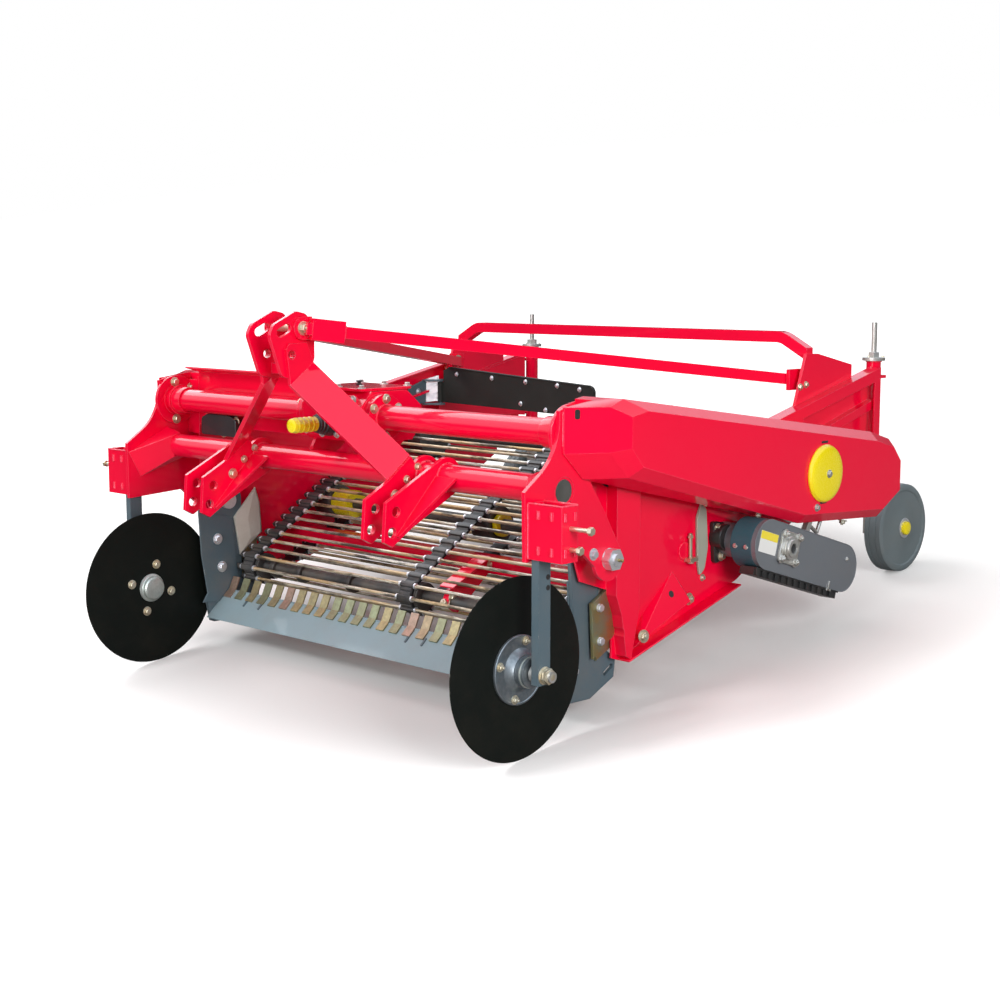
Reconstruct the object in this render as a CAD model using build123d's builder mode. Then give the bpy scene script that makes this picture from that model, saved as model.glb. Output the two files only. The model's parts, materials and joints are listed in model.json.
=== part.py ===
"""Two-row potato digger with a rod web elevator, carried on a three-point hitch.

Modelled level: +X to the machine's left as it travels, +Y to the rear, +Z up, with the zero point
midway between the two lower hitch pins. Each finished piece is then turned about X into the attitude
in which the parked machine rests on its two disc coulters and its two rear wheels.
"""
import os
from math import asin, atan2, cos, degrees, hypot, pi, radians, sin

from build123d import *

os.makedirs("parts", exist_ok=True)

# ---------------------------------------------------------------- driving dimensions, millimetres
SIDES = (("left", 1), ("right", -1))
FIT = 0.3             # gap between fixed pieces that seat on each other
SLIDE = 0.3           # gap round the wheel leg in its post and the screw in its nut
RUN = 0.05            # radial running clearance of a wheel or disc on its spindle

# side walls and the front plates outside them
WALL_OUT = 832.0      # outer face of each side wall
WALL_T = 6.0
PLATE_OUT = WALL_OUT + 68   # outer face of each front plate
PLATE_T = 12.0
WALL_IN = WALL_OUT - WALL_T
PLATE_IN = PLATE_OUT - PLATE_T

# cross tubes (y, z, outer radius, wall)
UPPER_Y, UPPER_Z, UPPER_R = 235.0, 225.0, 37.0
LOWER_Y, LOWER_Z, LOWER_R = 193.0, 78.0, 38.0
TUBE_WALL = 6.0

# three-point hitch
EAR_IN, EAR_OUT, EAR_T = 370.0, 455.0, 12.0   # middle planes of each inner and outer ear
PIN_R = 14.5          # lower hitch pin hole
TOP_PIN_R = 13.0      # top link pin slot
TOP_PIN_Y, TOP_PIN_Z = -53.0, 483.0
LINK_HOLE = (-35.0, 414.0)
HEAD_OUT, HEAD_T = 56.0, 12.0

# gearbox and its input
BOX_HALF, BOX_FRONT, BOX_REAR, BOX_BOTTOM, BOX_TOP = 135.0, 165.0, 405.0, 150.0, 300.0
FLANGE_R, FLANGE_T = 68.0, 14.0
FOOT_T, SHIELD_Y = 12.0, 290.0
PTO_Y, PTO_Z, PTO_R = 12.0, 205.0, 17.4
CAP_R, CAP_T = 20.0, 2.0

# disc coulters
DISC_X, DISC_Y, DISC_Z = WALL_OUT + 2, 83.0, -390.0
DISC_R, DISC_T = 249.0, 6.0
SHANK_IN, SHANK_T, SHANK_W = PLATE_OUT + 7, 25.0, 45.0
SPINDLE_R = 15.0
SPINDLE_IN, SPINDLE_OUT, SPINDLE_NUT = DISC_X - 8, SHANK_IN + 55, SHANK_IN + 43
NUT_WIDE, COLLAR_R, COLLAR_T = 19.0, 24.0, 10.0
HUB_FLANGE_R, HUB_R, HUB_CAP_R = 94.0, 40.0, 32.0
HUB_FLANGE_OUT, HUB_OUT, HUB_CAP_IN, HUB_BORE_IN = DISC_X + 12, SHANK_IN - 15, DISC_X - 22, DISC_X - 10
SOCKET_OUT, SOCKET_T = PLATE_OUT + 118, 8.0
SOCKET_TOP, SOCKET_BOTTOM = 62.0, -84.0

# share, arms and the pivot bolt that carries them
PIVOT_Y, PIVOT_Z, PIVOT_R, LOBE_R = 376.0, -123.0, 16.0, 60.0
ARM_IN, ARM_T = WALL_OUT - 30, 12.0
TIP_Y, TIP_Z = 280.0, -515.0
BACK_Y, BACK_Z = 375.0, -428.0
BLADE_T = 10.0
FINGERS, FINGER_W, FINGER_T = 27, 34.0, 5.0

# rod web: each roller is (y, z, radius to the belt's inner face)
ROLLERS = {"front": (462.0, -350.0, 45.0), "crown": (795.0, -160.0, 60.0), "drive": (1263.0, 42.0, 78.0)}
BELT_T, BELT_W = 8.0, 55.0
BELTS_X = (97 - WALL_OUT, 50.0, WALL_OUT - 97)
ROD_R, ROD_HALF, ROD_PITCH = 5.5, WALL_OUT - 47, 42.0
SHAFT_R = 20.0
CROSS_Y, CROSS_Z, CROSS_SIZE = 640.0, -255.0, 50.0
SPINE_X, SPINE_T = 190.0, 25.0

# chain cases on both sides and the lower chain guard on the left
CASE_OUT, CASE_RIM, CASE_BACK = PLATE_OUT + 100, 28.0, 310.0
CASE_SECTIONS = (      # x, y of the nose, how far the rim is drawn in
    (PLATE_OUT + FIT, 185.0, 0.0),
    (PLATE_OUT + 5, 185.0, 0.0),
    (CASE_OUT - CASE_RIM, 290.0, 0.0),
    (CASE_OUT, 350.0, CASE_RIM))
COVER_R, COVER_T = 93.0, 26.0
GUARD_IN, GUARD_OUT, GUARD_R = WALL_OUT + 80, WALL_OUT + 168, 74.0
GUARD_FRONT, GUARD_REAR = (986.0, -144.6), (1385.0, -265.0)

# top rail and its gussets
WALL_REAR = 1850.0    # rear end of each side wall
RAIL_Y, RAIL_Z, RAIL_SIZE, RAIL_BEND = WALL_REAR - 360, 440.0, 36.0, WALL_OUT - 142
RAIL_END, RAIL_FOOT_Z, RAIL_TURN_R = WALL_OUT - 17, 372.0, 70.0
GUSSET_IN, GUSSET_T = WALL_OUT - 62, 10.0
GUSSET_FACE = GUSSET_IN + 18
FLANGE_IN, LIP_T = WALL_OUT - 46, 8.0
WALL_TOP = ((1228.0, 186.0), (WALL_REAR, 332.0))

# rear posts, jack screws and wheels
POST_X, POST_Y, POST_R, POST_WALL = WALL_OUT - 49, WALL_REAR + 32, 24.0, 4.0
POST_TOP, POST_BOTTOM = 352.0, 40.0
POST_LUGS, POST_LUG_T = (84.0, 296.0), 10.0
LEG_TOP_Z, SCREW_R, SCREW_TOP, NUT_R, NUT_T = 250.0, 9.0, 480.0, 38.0, 10.0
WHEEL_X, WHEEL_Y, WHEEL_Z = WALL_OUT + 18, POST_Y + 58, -212.0
WHEEL_R, WHEEL_W = 150.0, 70.0
AXLE_R = 12.0

# swath board
HINGE_X, HINGE_Y, HINGE_R, KNUCKLE_R = 80 - WALL_OUT, 1345.0, 7.0, 13.0
BOARD_ANGLE, BOARD_LENGTH, BOARD_T = -12.0, 955.0, 10.0
BOARD_BOTTOM, BOARD_TOP, BOARD_ROUND = 162.0, 285.0, 24.0
KNUCKLE_TOP, BRACKET_LOW, BRACKET_TOP, BRACKET_T = 237.0, 150.0, 239.0, 8.0

# parked attitude: the common tangent under disc and wheel becomes the ground line
SPAN_Y, SPAN_Z = WHEEL_Y - DISC_Y, WHEEL_Z - DISC_Z
PARK_ANGLE = degrees(atan2(SPAN_Z, SPAN_Y) + asin((DISC_R - WHEEL_R) / hypot(SPAN_Y, SPAN_Z)))
TILT = Location((0, 0, 0), (-PARK_ANGLE, 0, 0))

pieces = {}


def keep(name, part):
    """Hold a finished piece under its node name."""
    pieces[name] = part


def plate(outline, x_from, x_to, holes=()):
    """Flat plate across X: outline is (y, z) points, holes are (y, z, radius)."""
    with BuildPart() as flat:
        with BuildSketch(Plane.YZ.offset(x_from)):
            with BuildLine():
                Polyline(*outline, close=True)
            make_face()
            for y, z, radius in holes:
                with Locations((y, z)):
                    Circle(radius, mode=Mode.SUBTRACT)
        extrude(amount=x_to - x_from)
    return flat.part


def shaft(y, z, radius, x_from, x_to, bore=0.0):
    """Round bar or tube along X."""
    with BuildPart() as bar:
        with BuildSketch(Plane.YZ.offset(x_from)):
            with Locations((y, z)):
                Circle(radius)
                if bore:
                    Circle(bore, mode=Mode.SUBTRACT)
        extrude(amount=x_to - x_from)
    return bar.part


# ---------------------------------------------------------------- cross tubes and gearbox
FLANGE_X = BOX_HALF + FLANGE_T
keep("lower_cross_tube", shaft(LOWER_Y, LOWER_Z, LOWER_R, -PLATE_OUT + 2, PLATE_OUT - 2,
                               LOWER_R - TUBE_WALL))

for side_name, side in SIDES:
    with BuildPart() as tube:
        with BuildSketch(Plane.YZ.offset(side * (FLANGE_X + FIT))):
            with Locations((UPPER_Y, UPPER_Z)):
                Circle(FLANGE_R)
        extrude(amount=side * FLANGE_T)
        with BuildSketch(Plane.YZ.offset(side * (FLANGE_X + FIT))):
            with Locations((UPPER_Y, UPPER_Z)):
                Circle(UPPER_R)
        extrude(amount=side * (PLATE_IN - FLANGE_X - 2 * FIT))
        with BuildSketch(Plane.YZ.offset(side * (PLATE_IN - FIT))):
            with Locations((UPPER_Y, UPPER_Z)):
                Circle(UPPER_R + 14)
        extrude(amount=-side * FLANGE_T)
        with BuildSketch(Plane.YZ.offset(side * FLANGE_X)):
            with Locations((UPPER_Y, UPPER_Z)):
                Circle(UPPER_R - TUBE_WALL)
        extrude(amount=side * (PLATE_IN - FLANGE_X), mode=Mode.SUBTRACT)
    keep(f"upper_tube_{side_name}", tube.part)

with BuildPart() as gearbox:
    with BuildSketch(Plane.YZ.offset(-BOX_HALF)):
        with BuildLine():
            Polyline((BOX_FRONT, BOX_BOTTOM + 25), (BOX_FRONT + 30, BOX_BOTTOM), (BOX_REAR - 40, BOX_BOTTOM),
                     (BOX_REAR, BOX_BOTTOM + 45), (BOX_REAR, BOX_TOP - 50), (BOX_REAR - 60, BOX_TOP),
                     (BOX_FRONT + 40, BOX_TOP), (BOX_FRONT, BOX_TOP - 40), close=True)
        make_face()
    extrude(amount=2 * BOX_HALF)
    for side in (-1, 1):
        with BuildSketch(Plane.YZ.offset(side * BOX_HALF)):
            with Locations((UPPER_Y, UPPER_Z)):
                Circle(FLANGE_R)
        extrude(amount=side * FLANGE_T)
    with BuildSketch(Plane.XZ.offset(-BOX_FRONT)):
        with Locations((0, PTO_Z)):
            Circle(34)
    extrude(amount=28)
    with BuildSketch(Plane.XZ.offset(-BOX_FRONT + 28)):
        with Locations((0, PTO_Z)):
            Circle(PTO_R + RUN)
    extrude(amount=-70, mode=Mode.SUBTRACT)
keep("gearbox", gearbox.part)

# feet that stand the gearbox on the lower cross tube
with BuildPart() as feet:
    for x_from in (-BOX_HALF + 10, BOX_HALF - 10 - FOOT_T):
        with BuildSketch(Plane.YZ.offset(x_from)):
            with BuildLine():
                Polyline((LOWER_Y - 26, LOWER_Z + 10), (LOWER_Y + 8, BOX_BOTTOM - FIT),
                         (BOX_REAR - 60, BOX_BOTTOM - FIT), (LOWER_Y + 26, LOWER_Z - 20), close=True)
            make_face()
            with Locations((LOWER_Y, LOWER_Z)):
                Circle(LOWER_R + FIT, mode=Mode.SUBTRACT)
        extrude(amount=FOOT_T)
keep("gearbox_feet", feet.part)

# folded shield over the half shaft on the right
shield = ((SHIELD_Y, 140), (SHIELD_Y + 5, 140), (SHIELD_Y + 5, 322), (236, 336), (235, 331), (SHIELD_Y, 317))
keep("half_shaft_shield", plate(shield, -(WALL_IN - FIT), -(FLANGE_X + FLANGE_T + 8)))

with BuildPart() as pto_shaft:
    with BuildSketch(Plane.XZ.offset(-BOX_FRONT - 30)):
        with Locations((0, PTO_Z)):
            Circle(PTO_R)
    extrude(amount=BOX_FRONT + 30 - PTO_Y - 6)
keep("pto_shaft", pto_shaft.part)

with BuildPart() as pto_cap:
    with BuildSketch(Plane.XZ.offset(-(BOX_FRONT - 28 - FIT))):
        with Locations((0, PTO_Z)):
            Circle(CAP_R)
    extrude(amount=BOX_FRONT - 28 - FIT - PTO_Y)
    with BuildSketch(Plane.XZ.offset(-(BOX_FRONT - 28 - FIT))):
        with Locations((0, PTO_Z)):
            Circle(PTO_R + FIT)
    extrude(amount=BOX_FRONT - 28 - FIT - PTO_Y - CAP_T, mode=Mode.SUBTRACT)
keep("pto_cap", pto_cap.part)

# ---------------------------------------------------------------- front plates and sockets
for side_name, side in SIDES:
    with BuildPart() as front_plate:
        with BuildSketch(Plane.YZ.offset(side * PLATE_IN)):
            with BuildLine():
                Polyline((45, -93), (42, 89), (91, 123))
                RadiusArc((91, 123), (173, 290), -170)
                Polyline((173, 290), (205, 300), (300, 300), (300, 90), (355, 10), (436, -120))
                RadiusArc((436, -120), (318, -139), 60)
                Polyline((318, -139), (253, -81), (45, -93))
            make_face()
            with Locations((LOWER_Y, LOWER_Z)):
                Circle(LOWER_R + FIT, mode=Mode.SUBTRACT)
            with Locations((PIVOT_Y, PIVOT_Z)):
                Circle(PIVOT_R + RUN, mode=Mode.SUBTRACT)
        extrude(amount=side * PLATE_T)
    keep(f"front_plate_{side_name}", front_plate.part)

    with BuildPart() as socket:
        with BuildSketch(Plane.XY.offset(SOCKET_BOTTOM)):
            with Locations((side * (PLATE_OUT + SOCKET_OUT) / 2, DISC_Y)):
                Rectangle(SOCKET_OUT - PLATE_OUT, SHANK_W + 2 * SOCKET_T)
            with Locations((side * (SHANK_IN + SOCKET_OUT - SOCKET_T) / 2, DISC_Y)):
                Rectangle(SOCKET_OUT - SOCKET_T - SHANK_IN + 2 * FIT, SHANK_W + 2 * FIT, mode=Mode.SUBTRACT)
        extrude(amount=SOCKET_TOP - SOCKET_BOTTOM)
    keep(f"disc_socket_{side_name}", socket.part)

    with BuildPart() as shank:
        with BuildSketch(Plane.YZ.offset(side * SHANK_IN)):
            with Locations((DISC_Y, (SOCKET_TOP - 12 + DISC_Z - 26) / 2)):
                Rectangle(SHANK_W, SOCKET_TOP - 12 - DISC_Z + 26)
            with Locations((DISC_Y, DISC_Z)):
                Circle(SPINDLE_R + FIT, mode=Mode.SUBTRACT)
        extrude(amount=side * SHANK_T)
    keep(f"disc_shank_{side_name}", shank.part)

    # spindle with its nut outside the shank and collar inside it
    with BuildPart() as spindle:
        for radius, x_from, x_to in ((SPINDLE_R, SPINDLE_IN, SPINDLE_OUT),
                                     (NUT_WIDE, SHANK_IN + SHANK_T + FIT, SPINDLE_NUT),
                                     (COLLAR_R, SHANK_IN - COLLAR_T, SHANK_IN - FIT)):
            with BuildSketch(Plane.YZ.offset(side * x_from)):
                with Locations((DISC_Y, DISC_Z)):
                    Circle(radius)
            extrude(amount=side * (x_to - x_from))
    keep(f"disc_spindle_{side_name}", spindle.part)

    # disc blade, flange and hub barrel turning on the spindle, closed by a domed cap
    with BuildPart() as disc:
        for radius, x_from, x_to in ((DISC_R, DISC_X - DISC_T / 2, DISC_X + DISC_T / 2),
                                     (HUB_FLANGE_R, DISC_X + DISC_T / 2, HUB_FLANGE_OUT),
                                     (HUB_R, HUB_FLANGE_OUT, HUB_OUT),
                                     (HUB_CAP_R, HUB_CAP_IN, DISC_X - DISC_T / 2)):
            with BuildSketch(Plane.YZ.offset(side * x_from)):
                with Locations((DISC_Y, DISC_Z)):
                    Circle(radius)
            extrude(amount=side * (x_to - x_from))
        with BuildSketch(Plane.YZ.offset(side * HUB_BORE_IN)):
            with Locations((DISC_Y, DISC_Z)):
                Circle(SPINDLE_R + RUN)
        extrude(amount=side * (SHANK_IN - HUB_BORE_IN), mode=Mode.SUBTRACT)
    keep(f"disc_coulter_{side_name}", disc.part)

# ---------------------------------------------------------------- hitch ears, mast and stays
EAR_R = 56.0                            # round end of each ear about the cross tube
EAR_LOW = ((LOWER_Y + 25, LOWER_Z - 50), (60, -50), (-15, -96), (-45, -80), (-36, 28))
EAR_HOLES = ((0, 0, PIN_R), (-16, -56, PIN_R), (LOWER_Y, LOWER_Z, LOWER_R + FIT))
RIB_T, RIB_FOOT = 8.0, (4, -73)
TOP_BEND = ((-40, 326), (45, 389))      # front and rear end of the bend line beside the head
FOOT_BEND = ((50, 73), (135, 136))      # and beside the inner ear
TOP_TAB = ((-40, 326), (-54, 430), (-44, 446), (20, 448), (45, 389))
INNER_EAR = (*EAR_LOW, *FOOT_BEND)
OUTER_EAR = (*EAR_LOW, (LOWER_Y - 25, LOWER_Z + 50))


def rib_face(x_middle, way):
    """Face of the slanting rib from an ear's foot to the cross tube, widening the given way along X."""
    foot = Vector(x_middle, *RIB_FOOT)
    top = Vector(x_middle, LOWER_Y - LOWER_R, LOWER_Z + 2)
    reach = (top - foot).length
    with BuildSketch(Plane(origin=foot, x_dir=(1, 0, 0), z_dir=Vector(1, 0, 0).cross(top - foot))) as rib:
        with BuildLine():
            Polyline((0, 0), (way * 16, 0), (way * 84, reach), (0, reach), close=True)
        make_face()
    return rib.sketch.face()


for side_name, side in SIDES:
    # outer ear with a slanting rib to the cross tube
    with BuildPart() as ear:
        with BuildSketch(Plane.YZ.offset(side * EAR_OUT)):
            with BuildLine():
                Polyline(*OUTER_EAR, close=True)
            make_face()
            with Locations((LOWER_Y, LOWER_Z)):
                Circle(EAR_R)
            for y, z, radius in EAR_HOLES:
                with Locations((y, z)):
                    Circle(radius, mode=Mode.SUBTRACT)
        extrude(amount=EAR_T / 2, both=True)
        extrude(rib_face(side * EAR_OUT, side), amount=RIB_T)
    keep(f"outer_ear_{side_name}", ear.part)

    # mast leg, one bent plate: a tab on the head, a slanting run, and the inner ear
    top_x = HEAD_OUT + FIT + EAR_T / 2
    corners = [Vector(side * top_x, *point) for point in TOP_BEND]
    corners += [Vector(side * EAR_IN, *point) for point in reversed(FOOT_BEND)]
    slant = Plane(origin=corners[0], x_dir=corners[1] - corners[0],
                  z_dir=(corners[1] - corners[0]).cross(corners[3] - corners[0]))
    with BuildPart() as leg:
        plates = ((TOP_TAB, top_x, ((*LINK_HOLE, TOP_PIN_R),)), (INNER_EAR, EAR_IN, EAR_HOLES))
        for tab, x_middle, holes in plates:
            with BuildSketch(Plane.YZ.offset(side * x_middle)):
                with BuildLine():
                    Polyline(*tab, close=True)
                make_face()
                for y, z, radius in holes:
                    with Locations((y, z)):
                        Circle(radius, mode=Mode.SUBTRACT)
            extrude(amount=EAR_T / 2, both=True)
        with BuildSketch(slant):
            with BuildLine():
                Polyline(*[slant.to_local_coords(corner) for corner in corners], close=True)
            make_face()
        extrude(amount=EAR_T / 2, both=True)
        with BuildSketch(Plane.YZ.offset(side * EAR_IN)):
            with Locations((LOWER_Y, LOWER_Z)):
                Circle(EAR_R)
                Circle(LOWER_R + FIT, mode=Mode.SUBTRACT)
        extrude(amount=EAR_T / 2, both=True)
        extrude(rib_face(side * EAR_IN, -side), amount=RIB_T)
        split(bisect_by=Plane.YZ.offset(side * (HEAD_OUT + FIT)), keep=Keep.TOP if side > 0 else Keep.BOTTOM)
    keep(f"mast_leg_{side_name}", leg.part)

STAY_SIZE, LUG_SIZE, LUG_T = 34.0, 66.0, 12.0
STAY_FRONT, STAY_REAR = (HEAD_OUT + 22, 8, 488), (GUSSET_IN - 22, RAIL_Y - 50, 308)
SLEEVE_W, SLEEVE_H, SLEEVE_FROM, SLEEVE_LENGTH = 42.0, 62.0, 16.0, 96.0
HEAD_ROUND = 26.0

with BuildPart() as mast_head:
    for side in (-1, 1):
        with BuildSketch(Plane.YZ.offset(side * (HEAD_OUT - HEAD_T))):
            with BuildLine():
                FilletPolyline((-104, 470), (-88, 500), (-8, 537), (32, 528), (58, 470), (58, 395), (0, 340),
                               (-62, 352), radius=HEAD_ROUND, close=True)
            make_face()
            with Locations((TOP_PIN_Y, TOP_PIN_Z)):
                SlotOverall(54, 2 * TOP_PIN_R, rotation=25, mode=Mode.SUBTRACT)
            with Locations(LINK_HOLE):
                Circle(TOP_PIN_R, mode=Mode.SUBTRACT)
            with Locations(STAY_FRONT[1:]):
                Circle(8, mode=Mode.SUBTRACT)
        extrude(amount=side * HEAD_T)
    with BuildSketch(Plane.XZ.offset(20)):
        with Locations((0, 372)):
            Rectangle(2 * (HEAD_OUT - HEAD_T), 30)
    extrude(amount=-40)
keep("mast_head", mast_head.part)

for side_name, side in SIDES:
    start = Vector(side * STAY_FRONT[0], *STAY_FRONT[1:])
    run = Vector(side * STAY_REAR[0], *STAY_REAR[1:]) - start
    with BuildPart() as stay:
        with BuildSketch(Plane(origin=start, x_dir=Vector(0, 0, 1).cross(run), z_dir=run)):
            Rectangle(STAY_SIZE, STAY_SIZE)
        extrude(amount=run.length)
        sleeve_at = start + run.normalized() * SLEEVE_FROM
        with BuildSketch(Plane(origin=sleeve_at, x_dir=Vector(0, 0, 1).cross(run), z_dir=run)):
            Rectangle(SLEEVE_W, SLEEVE_H)
        extrude(amount=SLEEVE_LENGTH)
        with BuildSketch(Plane.YZ.offset(side * (HEAD_OUT + FIT))):
            with Locations(STAY_FRONT[1:]):
                Circle(LUG_SIZE / 2)
            with Locations((STAY_FRONT[1] + LUG_SIZE / 4, STAY_FRONT[2])):
                Rectangle(LUG_SIZE / 2, LUG_SIZE)
        extrude(amount=side * LUG_T)
        with BuildSketch(Plane.YZ.offset(side * (GUSSET_IN - FIT - LUG_T))):
            with Locations(STAY_REAR[1:]):
                Rectangle(LUG_SIZE, LUG_SIZE)
        extrude(amount=side * LUG_T)
    keep(f"mast_stay_{side_name}", stay.part)

# ---------------------------------------------------------------- side walls, pillars and cases
TOP_SLOPE = (WALL_TOP[1][1] - WALL_TOP[0][1]) / (WALL_TOP[1][0] - WALL_TOP[0][0])
CASE_LOW = ((372.0, 100.0), (1170.0, -104.0))
WALL_FRONT = 288.0
BROW, BROW_FROM = (344.0, 308.0), 640.0      # top edge ahead of the slope, and where its lip starts
WALL_OUTLINE = ((WALL_FRONT, 300), BROW, *WALL_TOP, (WALL_REAR, 60), (1500, -60), (1370, -122), (1053, -280),
                (500, -436), (470, -425), (470, -235), (336, -190), (WALL_FRONT, -60))
WINDOW_REAR = WALL_REAR - 35
WINDOW = ((1400, 190), (1400, 156), (1560, 150), (WINDOW_REAR - 125, 110), (WINDOW_REAR, 110),
          (WINDOW_REAR, 284))
PANEL_FRONT, PANEL_REAR = 1366.0, WALL_REAR - 5
PILLAR_FRONT, PILLAR_REAR, PILLAR_OUT = 445.0, 545.0, WALL_OUT + 38
BRACE = ((WALL_REAR - 12, 226), (WALL_REAR - 12, 196), (1560, 126), (1560, 152))


def case_section(nose, inset):
    """Side outline of the chain case with its nose at y = nose and its rim drawn in by inset."""
    return ((nose, 298 - inset), (nose, 177 + 0.3 * inset), (nose + 77 - inset, 104 + inset),
            (CASE_LOW[1][0], CASE_LOW[1][1] + inset), (1615 - 0.2 * inset, -130 + inset),
            (1732 - 0.85 * inset, -64 + 0.5 * inset), (1732 - 0.85 * inset, 56 - 0.4 * inset),
            (1676 - 0.4 * inset, 116 - 0.85 * inset), (1566, 146 - inset),
            (344 + 2.6 * inset, 316 - 1.25 * inset))


def case_low(y):
    """Height of the chain case's sloping underside at y."""
    (y1, z1), (y2, z2) = CASE_LOW
    return z1 + (y - y1) * (z2 - z1) / (y2 - y1)


def top_line(y):
    """Height of the side wall's sloping rear top edge at y."""
    return WALL_TOP[0][1] + (y - WALL_TOP[0][0]) * TOP_SLOPE


def brow_line(y):
    """Height of the side wall's falling front top edge at y."""
    return BROW[1] + (y - BROW[0]) * (WALL_TOP[0][1] - BROW[1]) / (WALL_TOP[0][0] - BROW[0])


PILLAR_OUTLINE = ((PILLAR_FRONT, case_low(PILLAR_FRONT) - 4), (PILLAR_REAR, case_low(PILLAR_REAR) - 4),
                  (PILLAR_REAR, -288), (512, -430), (490, -418), (470, -300), (PILLAR_FRONT, -240))

for side_name, side in SIDES:
    with BuildPart() as wall:
        with BuildSketch(Plane.YZ.offset(side * WALL_IN)):
            with BuildLine():
                Polyline(*WALL_OUTLINE, close=True)
            make_face()
            with BuildLine():
                Polyline(*WINDOW, close=True)
            make_face(mode=Mode.SUBTRACT)
        extrude(amount=side * WALL_T)
        with BuildSketch(Plane.YZ.offset(side * WALL_OUT)):
            with BuildLine():
                Polyline(*PILLAR_OUTLINE, close=True)
            make_face()
        extrude(amount=side * (PILLAR_OUT - WALL_OUT))
        # flange that reaches out to the front plate
        with BuildSketch(Plane.YZ.offset(side * WALL_OUT)):
            with Locations(((WALL_FRONT + CASE_BACK - FIT) / 2, 200)):
                Rectangle(CASE_BACK - FIT - WALL_FRONT, 180)
        extrude(amount=side * (PLATE_IN - FIT - WALL_OUT))
        # inward lip along the sloping top edge
        with BuildSketch(Plane.YZ.offset(side * FLANGE_IN)):
            with BuildLine():
                Polyline((BROW_FROM, brow_line(BROW_FROM)), *WALL_TOP,
                         (WALL_TOP[1][0], WALL_TOP[1][1] - LIP_T),
                         (WALL_TOP[0][0], WALL_TOP[0][1] - LIP_T), (BROW_FROM, brow_line(BROW_FROM) - LIP_T),
                         close=True)
            make_face()
        extrude(amount=side * (WALL_IN - FLANGE_IN))
        with BuildSketch(Plane.YZ.offset(side * WALL_IN)):
            for name in ROLLERS:
                with Locations(ROLLERS[name][:2]):
                    Circle(SHAFT_R + FIT)
            with Locations((PIVOT_Y, PIVOT_Z)):
                Circle(PIVOT_R + FIT)
        extrude(amount=side * (PLATE_IN - WALL_IN), mode=Mode.SUBTRACT)
    keep(f"side_wall_{side_name}", wall.part)

    # recessed rear panel inside the lip, with its slanting brace
    with BuildPart() as panel:
        with BuildSketch(Plane.YZ.offset(side * FLANGE_IN)):
            with BuildLine():
                Polyline((PANEL_FRONT, 120), (PANEL_REAR, 80),
                         (PANEL_REAR, top_line(PANEL_REAR) - LIP_T - FIT),
                         (PANEL_FRONT, top_line(PANEL_FRONT) - LIP_T - FIT), close=True)
            make_face()
        extrude(amount=side * 5)
        with BuildSketch(Plane.YZ.offset(side * FLANGE_IN)):
            with BuildLine():
                Polyline(*BRACE, close=True)
            make_face()
        extrude(amount=side * 30)
    keep(f"rear_panel_{side_name}", panel.part)

    # chain case: straight body behind the front plate, then a bevelled nose and rim outside it
    with BuildPart() as case:
        with BuildSketch(Plane.YZ.offset(side * (WALL_OUT + FIT))):
            with BuildLine():
                Polyline((CASE_BACK, 311), (CASE_BACK, 102), CASE_LOW[0],
                         *case_section(CASE_BACK, 0)[3:], close=True)
            make_face()
        extrude(amount=side * (CASE_SECTIONS[1][0] - WALL_OUT - FIT))
        for inner, outer in zip(CASE_SECTIONS, CASE_SECTIONS[1:]):
            for x, nose, inset in (inner, outer):
                with BuildSketch(Plane.YZ.offset(side * x)):
                    with BuildLine():
                        Polyline(*case_section(nose, inset), close=True)
                    make_face()
            loft(ruled=True)
    keep(f"chain_case_{side_name}", case.part)

with BuildPart() as covers:
    for _, side in SIDES:
        with BuildSketch(Plane.YZ.offset(side * (CASE_OUT + FIT))):
            with Locations(ROLLERS["drive"][:2]):
                Circle(COVER_R)
        extrude(amount=side * COVER_T)
    rims = covers.faces().filter_by(Plane.YZ).sort_by(Axis.X)
    fillet(rims[0].edges() + rims[-1].edges(), COVER_T * 0.6)
keep("case_covers", covers.part)

# ---------------------------------------------------------------- share
DIG = Vector(BACK_Y - TIP_Y, BACK_Z - TIP_Z).normalized()
DIG_NORMAL = Vector(-DIG.Y, DIG.X)
TIP, BACK = Vector(TIP_Y, TIP_Z), Vector(BACK_Y, BACK_Z)
ARM_BELOW = ((330, -290), (350, -410), (286, -466), (300, -530), (400, -532), (502, -486), (509, -430),
             (434, -384))

for side_name, side in SIDES:
    with BuildPart() as arm:
        with BuildSketch(Plane.YZ.offset(side * ARM_IN)):
            with BuildLine():
                RadiusArc((PIVOT_Y + LOBE_R, PIVOT_Z), (PIVOT_Y - LOBE_R, PIVOT_Z), -LOBE_R)
                Polyline((PIVOT_Y - LOBE_R, PIVOT_Z), *ARM_BELOW, (PIVOT_Y + LOBE_R, PIVOT_Z))
            make_face()
            with Locations((PIVOT_Y, PIVOT_Z)):
                Circle(PIVOT_R + FIT, mode=Mode.SUBTRACT)
            with Locations((478, -462)):
                SlotOverall(46, 14, rotation=30, mode=Mode.SUBTRACT)
        extrude(amount=side * ARM_T)
    keep(f"share_arm_{side_name}", arm.part)

with BuildPart() as pivots:
    for _, side in SIDES:
        for radius, x_from, x_to in ((PIVOT_R, ARM_IN - 10, PLATE_OUT + 34),
                                     (28, ARM_IN - 16, ARM_IN - FIT),
                                     (21, ARM_IN + ARM_T + FIT, WALL_IN - FIT)):
            with BuildSketch(Plane.YZ.offset(side * x_from)):
                with Locations((PIVOT_Y, PIVOT_Z)):
                    Circle(radius)
            extrude(amount=side * (x_to - x_from))
        with BuildSketch(Plane.YZ.offset(side * (PLATE_OUT + FIT))):
            with Locations((PIVOT_Y, PIVOT_Z)):
                RegularPolygon(32, 6)
        extrude(amount=side * 26)
keep("share_pivots", pivots.part)

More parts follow.
